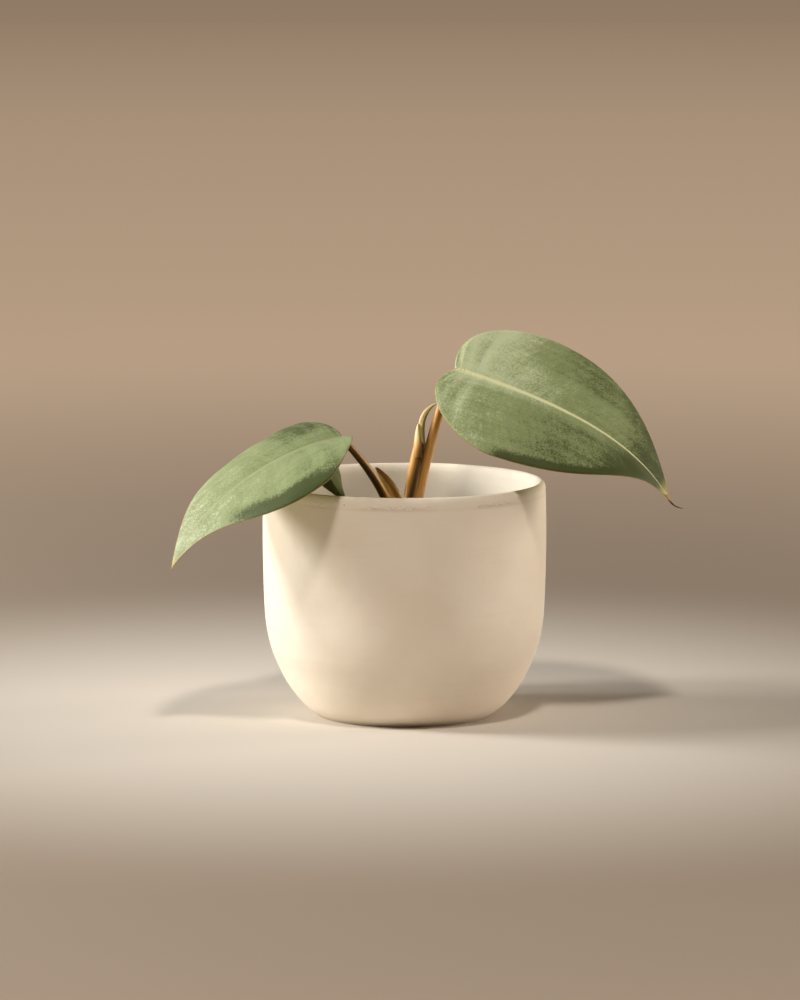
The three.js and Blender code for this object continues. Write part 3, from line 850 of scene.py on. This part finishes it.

# %% [markdown]
# ## The leaf stalks
#
# A leaf stalk of this plant is a smooth rod, thicker at its foot. Its skin is amber, lit through at
# the sides, with a dark band of painted shade down the front and fine streaks that run its whole
# length.
# They could be painted on an image, but that would show a seam where it closes. Here the streaks
# are noise that is stretched along the stalk. The mesh keeps where each point lies round the stalk,
# so the noise has no seam. A little light passes through the skin, as it does in a real stalk.

# %% Make the stalk skin
THIN_SKIN = {
    "Subsurface_Weight": 0.1, "Subsurface_Scale": 0.001, "Subsurface_Radius": (0.8, 0.6, 0.3),
}


def streaked(skin, around, along, detail=4, rough=0.5):
    """Noise read round the stalk, and slowly along it, so that its clouds are drawn out."""
    side, front = skin.measure("side") * around, skin.measure("front") * around
    return skin.clouds(skin.vector(side, front, skin.measure("along") * along), detail, rough)


def stalk_skin(name, light, middle, dark, shade_band, roughness):
    """The shade band places the dark band of painted shade round the stalk: side, front, width."""
    skin = Finish(name)
    streaks = streaked(skin, 3.2, 0.055, rough=0.65)
    flecks = skin.grain(0.8, 3)
    facing = skin.measure("side") * shade_band[0] + skin.measure("front") * shade_band[1]
    facing = facing + (streaks - 0.5) * 0.7
    # The dark band down the front is painted shade.
    painted_front_shade = skin.ramp(facing, 1 - shade_band[2], 1 - shade_band[2] * 0.35)
    colour = skin.mix(skin.ramp(streaks, 0.35, 0.65), light, middle)
    colour = skin.mix(painted_front_shade * 0.9, colour, dark)
    colour = skin.mix(skin.ramp(flecks, 0.62, 0.75) * 0.35, colour, dark)
    skin_relief = streaks * 0.7 + flecks * 0.3
    return skin.surface(
        colour, roughness, skin_relief, 0.08, **THIN_SKIN, Specular_IOR_Level=0.4,
    )


# %% Grow the stalk of the left leaf and of the small leaf
LEFT_STALK = [(-4, 1.2, 91), (-7.5, -1.1, 106.4), (-15.5, -16.3, 122.8), (-30.4, -29.5, 140)]
LEFT_STALK_RADII = [2.6, 2.3, 2.1, 1.9, 1.6]
SMALL_STALK = [(-15, 4.5, 91), (-24, 11, 99), (-36, 15, 108), (-45, 8.4, 129.1)]
SMALL_STALK_RADII = [1.6, 1.2, 1.1, 1.05]


def plain_stalk(name, path, radii, node, material, sides=28, rings=110):
    bm = bmesh.new()
    length = Shoot(path).length
    grow(bm, path, living_radius(radii, length, 0.8, 0.025, length / 9), sides, rings)
    finish_piece(name, bm, node, material)


# The last tuple puts the painted shade down the front of the stalk.
dark_skin = stalk_skin(
    "dark_stalk_skin", shown(214, 158, 78), shown(172, 124, 54), shown(88, 70, 34),
    (-0.25, 0.97, 0.55), 0.42,
)
plain_stalk("dark_leaf_stalk", LEFT_STALK, LEFT_STALK_RADII, "left_stalk", dark_skin)
plain_stalk("small_leaf_stalk", SMALL_STALK, SMALL_STALK_RADII, "small_stalk", dark_skin)

# %% [markdown]
# ## The right stalk and its winged sheath
#
# The foot of the right stalk is wrapped by a winged sheath, which runs up its left side and lets
# go as a pointed flap. Between the two lies a deep dark groove. Both are grown as rods that share
# their flesh, and the flap is a thin sheet curled round the same line.

# %% Grow the right stalk, its sheath and the flap
RIGHT_STALK = [(4.3, 0.8, 91), (7, 0.6, 112), (15.6, 0, 150), (24.6, -1.7, 170.2)]
RIGHT_STALK_RADII = [2.6, 2.35, 2.5, 2.15, 1.75]
SHEATH = [(1.8, 0.4, 93), (2.6, 0, 107), (4.9, -0.4, 121), (7.5, -0.6, 135.5)]
SHEATH_RADII = [3.6, 3.5, 3.4, 2.4]
FLAP = [(7.3, -0.6, 127), (7.6, -0.6, 133), (7.9, -0.6, 138.5), (7.9, -0.6, 144)]


def curl_sheet(bm, path, radius, spread, facing, thickness, columns, rows, wave=0.0):
    """A pointed thin sheet, curled round a path, with a closed rim. Its middle faces the angle
    facing, in degrees from the right towards the viewer, and it reaches spread to either side."""
    shoot = Shoot(path)
    layers = keep_measures(bm, ["side", "front", "along", "rim"])
    for inside in (0, 1):
        sheet = bmesh.ops.create_grid(bm, x_segments=columns, y_segments=rows, size=1)["verts"]
        for corner in sheet:
            u, v = corner.co.x, (corner.co.y + 1) / 2
            narrowing = math.sqrt(max(0, 1 - v ** 1.6))
            half = math.radians(spread) * (0.12 + 0.88 * narrowing)
            turn = math.radians(facing) + u * half
            thin = thickness * (1 - 0.75 * abs(u) ** 3) * (1 - 0.6 * v ** 4)
            reach = radius * (0.3 + 0.7 * narrowing) + thin * (0.5 - inside)
            reach += wave * math.sin(9 * v + 2 * u) * abs(u) ** 2
            side, front = across(shoot, v)
            corner.co = shoot.point(v) + (side * math.cos(turn) + front * math.sin(turn)) * reach
            values = (math.cos(turn), math.sin(turn), v * shoot.length, 1 - abs(u))
            for layer, value in zip(layers, values):
                corner[layer] = value
    bmesh.ops.bridge_loops(bm, edges=[edge for edge in bm.edges if edge.is_boundary])


bm = bmesh.new()
stalk_length = Shoot(RIGHT_STALK).length
sheath_length = Shoot(SHEATH).length
right_radius = living_radius(RIGHT_STALK_RADII, stalk_length, 0.9, 0.02, 9)
sheath_radius = living_radius(SHEATH_RADII, sheath_length, 2.2, 0.03, 5, girth=2)
grow(bm, RIGHT_STALK, right_radius, 32, 150)
grow(bm, SHEATH, sheath_radius, 32, 90)
curl_sheet(bm, FLAP, 3.1, 105, 175, 0.6, 24, 36, wave=0.12)
print(f"the right stalk is {stalk_length:.0f} mm long, and its sheath {sheath_length:.0f} mm")

# %% [markdown]
# The skin of this stalk is amber all round. The dark groove lies between the stalk and its sheath,
# along a slanting line. It could be cut as a real gap, but the two share their flesh there. So it
# is painted, by how far a point lies from that line: painted shade in the groove, and beside it a
# brown band that is partly the stalk's own brown and partly painted shade. Above the sheath the
# groove runs out. The flap is pale cream, and only its outermost rim keeps the amber.

# %% Colour the right stalk
GROOVE_SLOPE, GROOVE_START = 0.245, 0.02335

amber = Finish("amber_stalk_skin")
amber_x, amber_z = amber.part(0), amber.part(2)
amber_streaks = streaked(amber, 3.2, 0.055, rough=0.65)
amber_flecks = amber.grain(0.7, 3)
off_groove = abs(amber_x - amber_z * GROOVE_SLOPE + GROOVE_START) / MM
off_groove = off_groove + (amber_streaks - 0.5) * 1.4 + amber.ramp(amber_z, 0.139, 0.15, 0, 3)
amber_bands = amber.ramp(amber_streaks, 0.35, 0.65)
amber_tone = amber.mix(amber_bands, shown(232, 180, 104), shown(208, 150, 76))
# Beside the groove: partly the stalk's own brown, partly painted shade. In it: painted shade.
brown_and_shade_by_groove = amber.ramp(off_groove, 1.6, 3.6, 1, 0)
amber_tone = amber.mix(brown_and_shade_by_groove * 0.85, amber_tone, shown(134, 92, 36))
stalk_groove_shade = amber.ramp(off_groove, 0.5, 1.7, 1, 0)
amber_tone = amber.mix(stalk_groove_shade * 0.85, amber_tone, shown(70, 50, 26))
amber_tone = amber.mix(amber.ramp(amber_flecks, 0.6, 0.75) * 0.3, amber_tone, shown(110, 74, 32))
flap_bloom = amber.ramp(amber.measure("rim"), 0.05, 0.3) * amber.ramp(amber_z, 0.13, 0.14)
amber_tone = amber.mix(flap_bloom * 0.85, amber_tone, shown(234, 222, 166))
amber_relief = amber_streaks * 0.7 + amber_flecks * 0.3
amber_material = amber.surface(
    amber_tone, 0.42, amber_relief, 0.08, **THIN_SKIN, Specular_IOR_Level=0.4,
)
finish_piece("amber_leaf_stalk", bm, "right_stalk", amber_material)

# %% [markdown]
# ## The rolled young leaf
#
# The next leaf comes out of the mouth of the sheath still rolled up, and arches over to the right.
# Its outside is pale and streaked, and its inner face already green. It could be a spiral sheet,
# but the roll is tight and its inside never shows. So it is grown like a stalk whose radius steps
# once round it, where the outer edge of the roll lies.

# %% Roll the young leaf
NEW_LEAF = [(9.8, 1, 130), (6.6, -0.6, 143), (8, -0.2, 149.5), (15.6, 1.2, 153.8)]
NEW_LEAF_RADII = [1.0, 1.7, 1.9, 1.5, 0.35]
ROLL_START, ROLL_TWIST, ROLL_STEP = 0.62, 0.25, 0.28


def rolled_radius(t, turn):
    """The outer edge of the roll shows as a step that winds round the leaf."""
    winding = (turn / (2 * math.pi) + ROLL_START + ROLL_TWIST * t) % 1
    step = 1 - ROLL_STEP + ROLL_STEP * winding ** 0.6
    return max(blend(NEW_LEAF_RADII, t) * step * rounded(t, 30, 0.8), THINNEST)


bm = bmesh.new()
grow(bm, NEW_LEAF, rolled_radius, 40, 90)

young = Finish("young_leaf_skin")
young_streaks = streaked(young, 3, 0.09)
inner_face = young.ramp(young.measure("side") + (young_streaks - 0.5) * 0.6, 0.0, 0.5)
young_colour = young.mix(young_streaks, shown(232, 214, 160), shown(196, 160, 96))
young_colour = young.mix(inner_face, young_colour, shown(132, 134, 74))
young_lines = young.ramp(young_streaks, 0.6, 0.72)
young_colour = young.mix(young_lines * 0.5, young_colour, shown(120, 84, 44))
young_material = young.surface(young_colour, 0.45, young_streaks, 0.06, **THIN_SKIN)
finish_piece("rolled_young_leaf", bm, "new_leaf", young_material)

# %% [markdown]
# ## The dry bract
#
# The bract beside the left stalk is the dry husk of an earlier leaf: a thin pointed sheet, curled
# lengthwise, with a fibrous skin. The helper that curled the flap of the sheath curls it too.

# %% Curl the bract
BRACT = [(-1.8, 0.2, 94.5), (-2.8, -0.9, 104.2), (-8.9, -2.3, 113.8), (-14.7, -3.4, 122)]

bm = bmesh.new()
curl_sheet(bm, BRACT, 4.8, 72, 296, 0.5, 28, 60, wave=0.2)

husk = Finish("bract_husk")
fibres = streaked(husk, 6, 0.06, 5, 0.7)
husk_colour = husk.mix(husk.ramp(fibres, 0.4, 0.6), shown(162, 140, 62), shown(228, 186, 108))
# Lighter towards the right side of the husk: a painted highlight.
husk_lit_side = husk.ramp(husk.measure("side"), 0.2, 0.8)
husk_colour = husk.mix(husk_lit_side, husk_colour, shown(232, 194, 132))
husk_rim = husk.ramp(husk.measure("rim"), 0.0, 0.16, 1, 0)
husk_colour = husk.mix(husk_rim * 0.8, husk_colour, shown(204, 168, 112))
husk_spots = husk.ramp(husk.grain(1.6, 3), 0.6, 0.75)
husk_colour = husk.mix(husk_spots * 0.4, husk_colour, shown(70, 50, 24))
husk_material = husk.surface(husk_colour, 0.7, fibres, 0.12, **THIN_SKIN)
finish_piece("dry_bract", bm, "bract", husk_material)

# %% [markdown]
# ## The leaf blades
#
# A blade is one sheet. Flattened, it is a heart: two lobes round a notch, and a drawn-out tip. Its
# midrib bends in a long arch, and each half rises from the midrib and curls down towards its
# margin. So the blade starts as a flat grid. The grid's columns become lines along the leaf, and
# its rows become the side veins, which leave the midrib close together at the notch and sweep
# towards the tip.
#
# A second grid makes the underside, where the midrib and the veins stand out as ribs. Bridging the
# two edges closes the leaf, and the sheet thins out towards its margin.

# %% Describe the three blades
RIGHT_BLADE = {
    "midrib": [
        (24.8, -1.8, 170.7), (99, -24, 149.6), (117.6, -16.3, 126.5), (128.8, -19.1, 109.5),
    ],
    "widest": (38.3, 50), "notch": (-14, 31), "lobe": 17.5, "shoulder": 50.5,
    "point": (31.6, 28.5),
    "left": {"lift": (39.3, 29.9), "bend": 0.38, "edge": 0},
    "right": {"lift": (-15.2, -7.1), "bend": 0.75, "edge": 16},
    "lobe_dip": 0.0025, "veins": 7, "pleat": 0.34, "ribs": (0.3, 1.5), "thick": 0.62,
}
LEFT_BLADE = {
    "midrib": [
        (-30.7, -29.8, 140.5), (-62.4, -45, 136.8), (-101.9, -51.8, 109.8), (-112.3, -61.8, 80.4),
    ],
    "widest": (28.6, 47.4), "notch": (-5.1, 7), "lobe": 18.6, "shoulder": 40.6,
    "point": (39.7, 10.5),
    "left": {"lift": (13.6, -22.4), "bend": 0.53, "edge": 23},
    "right": {"lift": (28.1, 17.8), "bend": 1.09, "edge": 0},
    "lobe_dip": -0.0005, "veins": 7, "pleat": 0.24, "ribs": (0.1, 1.2), "thick": 0.62,
}
SMALL_BLADE = {
    "midrib": [(-45, 8, 129.5), (-43, -1, 127), (-33.5, -9, 114), (-25.5, -12, 101)],
    "widest": (11, 11), "notch": (-3, 5), "lobe": 6, "shoulder": 11, "point": (12, 2.5),
    "left": {"lift": (4, -8), "bend": 1.6, "edge": 0},
    "right": {"lift": (4, -8), "bend": 1.6, "edge": 0},
    "lobe_dip": 0, "veins": 5, "pleat": 0.2, "ribs": (0.15, 0.7), "thick": 0.5,
}
for name, blade in (("right", RIGHT_BLADE), ("left", LEFT_BLADE), ("small", SMALL_BLADE)):
    print(f"the {name} blade's midrib is {Shoot(blade['midrib']).length:.0f} mm long")

# %% Draw the flat heart
def flat_margin(blade, length):
    """The outline of one half, flattened: two curves from the notch round the lobe to the tip."""
    along, width = blade["widest"]
    lobe = Shoot([
        (0, 0, 0), (*blade["notch"], 0), (along - blade["lobe"], width, 0), (along, width, 0),
    ])
    tip = Shoot([
        (along, width, 0), (along + blade["shoulder"], width, 0),
        (length - blade["point"][0], blade["point"][1], 0), (length, 0, 0),
    ])
    total = lobe.length + tip.length

    def margin(v):
        walked = v * total
        if walked <= lobe.length:
            return lobe.point(walked / lobe.length)
        return tip.point((walked - lobe.length) / tip.length)
    return margin


# %% [markdown]
# The flat heart is bent by walking outwards from the midrib in short straight steps, each turned a
# little further down than the last. A bend modifier works about one straight line, but this midrib
# arches itself, and a walk also keeps the true width of the leaf.

# %% Make the rule that bends a flat heart into a leaf
VEIN_CROWDING = 1.6
ROW_CROWDING = 1.5
RIB_WIDTH = 2.2
EDGE_START = 0.6
WALK_STEPS = 10


def leaf_rule(blade):
    """Gives place(u, v): u goes from -1 at the right margin to 1 at the left, v from notch to tip.
    It returns the point, the direction of its upper face, and the measures the finish needs."""
    midrib = Shoot(blade["midrib"])
    margin = flat_margin(blade, midrib.length)
    width = blade["widest"][1]

    def place(u, v):
        reach = abs(u) ** ROW_CROWDING
        root = midrib.length * v ** VEIN_CROWDING
        edge = margin(v)
        s = root + (edge.x - root) * reach
        w = edge.y * reach
        half = blade["right"] if u < 0 else blade["left"]
        t = min(max(s / midrib.length, 0), 1)
        along = midrib.direction(t)
        left = Vector((0, 0, 1)).cross(along).normalized()
        above = along.cross(left)
        outwards = left if u >= 0 else -left

        lift = half["lift"][0] + (half["lift"][1] - half["lift"][0]) * t

        def droop(distance):
            outer = max(0, distance / width - EDGE_START) / (1 - EDGE_START)
            return math.radians(lift - half["bend"] * distance - half["edge"] * outer ** 2)

        spot = midrib.point(t) + along * min(s, 0)
        for step in range(WALK_STEPS):
            angle = droop(w * (step + 0.5) / WALK_STEPS)
            spot += (outwards * math.cos(angle) + above * math.sin(angle)) * (w / WALK_STEPS)
        spot -= above * (blade["lobe_dip"] * min(s, 0) ** 2)
        tilt = droop(w) * min(1, w / RIB_WIDTH)
        up = above * math.cos(tilt) - outwards * math.sin(tilt)
        row = math.hypot(edge.x - root, edge.y)
        return spot, up, {"reach": reach, "w": w, "t": t, "row": row, "u": u, "v": v}
    return place


# %% [markdown]
# Between two side veins the blade is quilted, and along each vein it has a fine crease. Close to
# the notch the veins fan out, so the folds stand twice as close there. The margin wavers a little.

# %% Make the relief of the upper face
VEIN_SWEEP = 0.055
PLEAT_START = 12
FAN_REACH, FAN_SHARE = 0.3, 0.8
CREASE_DEPTH, CREASE_WIDTH = 0.04, 0.5
MARGIN_WAVER = 0.22


def vein_count(blade, at):
    """Counts the side veins from the notch: a whole number lies on a vein. They sweep forwards."""
    sweep = at["v"] - VEIN_SWEEP * at["reach"] ** 2 * math.sin(math.pi * at["v"])
    return blade["veins"] * sweep + 0.5


def off_vein_by(blade, at, count):
    """How far a point lies from the nearest side vein, in millimetres."""
    return abs(count - round(count)) * at["row"] / blade["veins"]


def relief(blade, at):
    """How far the upper face stands up or down: quilted between the veins, creased along them."""
    calm = math.sin(math.pi * at["reach"]) * min(1, at["w"] / PLEAT_START)
    count = vein_count(blade, at)
    quilt = -math.cos(2 * math.pi * count)
    fan = math.exp(-((at["v"] / FAN_REACH) ** 2))
    folds = -math.cos(4 * math.pi * count) * fan
    off_vein = off_vein_by(blade, at, count)
    crease = -CREASE_DEPTH * math.exp(-((off_vein / CREASE_WIDTH) ** 2)) * min(1, at["w"] / 5)
    waver = MARGIN_WAVER * math.sin(21 * at["v"] + 3 * at["u"]) * at["reach"] ** 6
    waver *= math.sin(math.pi * at["v"])
    return blade["pleat"] * calm * (quilt + FAN_SHARE * folds) + crease * (1 - at["reach"]) + waver


# %% Make a blade
RIB_FADE = 0.8
VEIN_STAND, VEIN_WIDTH = 0.22, 0.7
THIN_RIM = 3


def leaf_blade(bm, blade, columns, rows):
    place = leaf_rule(blade)
    layers = keep_measures(bm, ["across", "vein", "rim", "course", "under", "reach"])
    for under in (0, 1):
        sheet = bmesh.ops.create_grid(bm, x_segments=columns, y_segments=rows, size=1)["verts"]
        for corner in sheet:
            spot, up, at = place(corner.co.x, (corner.co.y + 1) / 2)
            rim = (1 - at["reach"]) * at["row"]
            thin = blade["thick"] / 2 * (0.3 + 0.7 * smooth(rim / THIN_RIM))
            rib = blade["ribs"][under] * (1 - RIB_FADE * at["t"])
            rib *= math.exp(-((at["w"] / RIB_WIDTH) ** 2))
            count = vein_count(blade, at)
            off_vein = off_vein_by(blade, at, count)
            vein = under * VEIN_STAND * (1 - at["reach"])
            vein *= math.exp(-((off_vein / VEIN_WIDTH) ** 2))
            stand = relief(blade, at) + (1 - 2 * under) * (thin + rib + vein)
            corner.co = spot + up * stand
            signed = at["w"] if at["u"] >= 0 else -at["w"]
            values = (signed, count, rim, at["t"], under, at["reach"])
            for layer, value in zip(layers, values):
                corner[layer] = value
    bmesh.ops.remove_doubles(bm, verts=bm.verts, dist=WELD)
    bmesh.ops.bridge_loops(bm, edges=[edge for edge in bm.edges if edge.is_boundary])


# %% [markdown]
# ## The velvet of the leaves
#
# The upper face is a grey green velvet. Thousands of tiny domed cells make it sparkle. Hair could
# be grown on the mesh for them, but they are too small to be seen one by one, so a fine mottle in
# the colour stands for them. The midrib is cream, the side veins only a little paler than the
# blade, and the outermost edge has dried to a thin brown line. Sheen gives the pale bloom that
# velvet shows where it turns away from the eye. The underside is a yellower green, with a pale rib.

# %% Make the velvet
def velvet(name, dark, green, pale, midrib, midrib_width, paleness, spots=()):
    """Paleness gives a number from 0 to 1, from the course along the leaf and the way across it."""
    leaf = Finish(name)
    across_, vein, rim, course, under, reach = (
        leaf.measure(key) for key in ("across", "vein", "rim", "course", "under", "reach")
    )
    cells = leaf.grain(0.8, 2, rough=0.6)
    mottle = leaf.grain(2.2, 3, rough=0.6)
    patches = leaf.grain(11, 2)
    face = under * 9
    hairs = leaf.clouds(leaf.vector(vein * 14, reach * 4, face), 3)
    fan = leaf.clouds(leaf.vector(vein * 1.7, face, 3), 1)
    streaks = leaf.clouds(leaf.vector(across_ * 0.3, course * 2.5, face), 2)
    # Bloom holds the painted highlight and shade of the rule, with the leaf's own mottle.
    bloom = paleness(leaf, course, across_, rim) + (patches - 0.5) * 0.35 + (hairs - 0.5) * 0.3
    bloom = bloom + (mottle - 0.5) * 0.3 + (cells - 0.5) * 0.85 + (streaks - 0.5) * 0.35
    bloom = bloom + (fan - 0.5) * leaf.ramp(course, 0.4, 0.1) * 0.5
    colour = leaf.mix(leaf.ramp(bloom, 0.0, 0.5), dark, green)
    colour = leaf.mix(leaf.ramp(bloom, 0.5, 1.05), colour, pale)

    off_vein = abs(leaf.node("ShaderNodeMath", {"operation": "FRACT"}, {0: vein + 0.5}) - 0.5)
    vein_line = leaf.ramp(off_vein + (mottle - 0.5) * 0.06, 0.0, 0.07, 1, 0)
    colour = leaf.mix(vein_line * leaf.ramp(reach, 0.9, 0.4) * 0.06, colour, pale)

    width = leaf.ramp(course, 0.0, 1.0, midrib_width, midrib_width * 0.35)
    spine = leaf.ramp(abs(across_) / width + (cells - 0.5) * 1.2, 0.3, 1.0, 1, 0)
    colour = leaf.mix(spine * leaf.ramp(course, 1.0, 0.75, 0.4, 0.9), colour, midrib)
    start = leaf.ramp(course, 0.02, 0.2, 1, 0) * leaf.ramp(abs(across_), 1.0, 2.0, 1, 0)
    start = start * leaf.ramp(mottle + (cells - 0.5), 0.5, 0.7)
    colour = leaf.mix(start * 0.6, colour, shown(172, 116, 60))

    tip = leaf.ramp(course, 0.92, 1.0)
    colour = leaf.mix(tip * 0.8, colour, shown(214, 200, 130))
    dry = leaf.ramp(rim + (mottle - 0.5) * 0.4, 0.1, 0.5, 1, 0)
    colour = leaf.mix(dry * 0.8, colour, shown(156, 116, 84))
    for point, radius in spots:
        colour = leaf.mix(leaf.near(point, radius) * 0.85, colour, shown(84, 58, 30))

    back = leaf.mix(leaf.ramp(hairs, 0.35, 0.7), shown(140, 148, 88), shown(164, 168, 108))
    back = leaf.mix(leaf.ramp(abs(across_), 0.8, 1.8, 1, 0), back, shown(196, 184, 128))
    colour = leaf.mix(under, colour, back)

    roughness = leaf.ramp(cells, 0.3, 0.7, 0.55, 0.75)
    return leaf.surface(
        colour, roughness, cells * 0.6 + mottle * 0.2 + hairs * 0.2, 0.12, Sheen_Weight=0.25,
        Sheen_Roughness=0.4, Sheen_Tint=(0.86, 0.9, 0.72), Subsurface_Weight=0.3,
        Subsurface_Scale=0.0012, Subsurface_Radius=(0.9, 1.0, 0.25), Specular_IOR_Level=0.3,
    )


# %% [markdown]
# ## The three leaves
#
# Each leaf is pale and dark in places of its own. Part of that is the leaf's own tone, and part is
# painted light: a painted highlight where the velvet faces the lamps, and painted shade where a
# half turns away or a margin curls under. So each gets a short rule that says how pale it is, from
# the course along the leaf, the way across it and the distance from its rim, all of which the mesh
# keeps.

# %% Make the right leaf
RIGHT_SPOTS = [((117.0, -12.0, 141.5), 1.1), ((119.0, -13.0, 144.0), 0.7)]


def right_paleness(leaf, course, across_, rim):
    """Palest round the notch, partly its own tone and partly a painted highlight. The near half
    gets painted shade, and a dark strip of painted shade runs along the near margin, where it turns
    under.
    """
    strip = leaf.ramp(rim, 1.5, 6.5, 1, 0) * leaf.ramp(across_, -6, -14)
    strip = strip * leaf.ramp(course, 0.26, 0.36)
    whole = leaf.ramp(course, 0.08, 0.55, 0.95, 0.52) - leaf.ramp(course, 0.6, 0.9) * 0.5
    near_half = leaf.ramp(across_, 2, -12) * 0.24
    far_margin = leaf.ramp(across_, 14, 34) * leaf.ramp(course, 0.12, 0.3) * 0.3
    return whole - near_half - far_margin - strip * leaf.ramp(course, 0.85, 0.5, 0.3, 0.6)


velvet_right = velvet(
    "velvet_right_leaf", shown(62, 72, 22), shown(134, 147, 98), shown(192, 202, 162),
    shown(226, 226, 180), 2.5, right_paleness, spots=RIGHT_SPOTS,
)
bm = bmesh.new()
leaf_blade(bm, RIGHT_BLADE, 96, 170)
finish_piece("velvet_right_leaf", bm, "right_blade", velvet_right)


# %% Make the left leaf
def left_paleness(leaf, course, across_, rim):
    """Paler towards the tip, partly a painted highlight, with painted shade on the far lobe and a
    dark strip of painted shade along the near margin, which curls under where it hangs over the
    rim.
    """
    strip = leaf.ramp(rim, 2, 14, 1, 0) * leaf.ramp(across_, 4, 18) * leaf.ramp(course, 0.78, 0.5)
    far_lobe = leaf.ramp(across_, -4, -20) * leaf.ramp(course, 0.35, 0.15) * 0.32
    strip = strip * leaf.ramp(course, 0.1, 0.36, 0.0, 0.9)
    return leaf.ramp(course, 0.2, 1.0, 0.42, 0.78) - far_lobe - strip


velvet_left = velvet(
    "velvet_left_leaf", shown(62, 74, 26), shown(132, 144, 100), shown(190, 197, 166),
    shown(154, 163, 118), 1.3, left_paleness,
)
bm = bmesh.new()
leaf_blade(bm, LEFT_BLADE, 96, 160)
finish_piece("velvet_left_leaf", bm, "left_blade", velvet_left)


# %% Make the small leaf
def small_paleness(leaf, course, across_, rim):
    return leaf.ramp(course, 0.0, 1.0, 0.5, 0.4)


# The small leaf's darker colours are painted shade: it lies in the shadow of the left leaf.
velvet_small = velvet(
    "velvet_small_leaf", shown(60, 68, 26), shown(88, 96, 46), shown(122, 130, 84),
    shown(138, 140, 90), 0.9, small_paleness,
)
bm = bmesh.new()
leaf_blade(bm, SMALL_BLADE, 48, 64)
finish_piece("velvet_small_leaf", bm, "small_blade", velvet_small)

# %% [markdown]
# ## The dried tip
#
# The tip of the larger leaf has dried to a thin curled thread. It could be pulled out of the
# blade's own mesh, but that would bunch up its rows. One more tapering rod is simpler, and its foot
# is hidden inside the tip of the blade.

# %% Grow the dried tip
THREAD = [(127.9, -19.1, 111.2), (129.6, -19.1, 107.4), (132, -19.1, 104.6), (136.2, -19.1, 104.4)]
THREAD_RADII = [0.9, 0.62, 0.45, 0.3, 0.16]

bm = bmesh.new()
thread_length = Shoot(THREAD).length
grow(bm, THREAD, living_radius(THREAD_RADII, thread_length, 0.3, 0.2, 7), 16, 60)
print(f"the thread is {thread_length:.0f} mm long")

dried = Finish("dried_thread")
dried_mottle = dried.grain(0.9, 3)
dried_part = dried.ramp(dried.measure("along"), 1.5, 5.5)
dried_tone = dried.mix(dried_part, shown(196, 164, 96), shown(92, 66, 40))
dried_tone = dried.mix(dried.ramp(dried_mottle, 0.5, 0.75) * 0.5, dried_tone, shown(60, 42, 26))
dried_material = dried.surface(dried_tone, 0.7, dried_mottle, 0.1)
finish_piece("dried_leaf_tip", bm, "right_blade", dried_material)
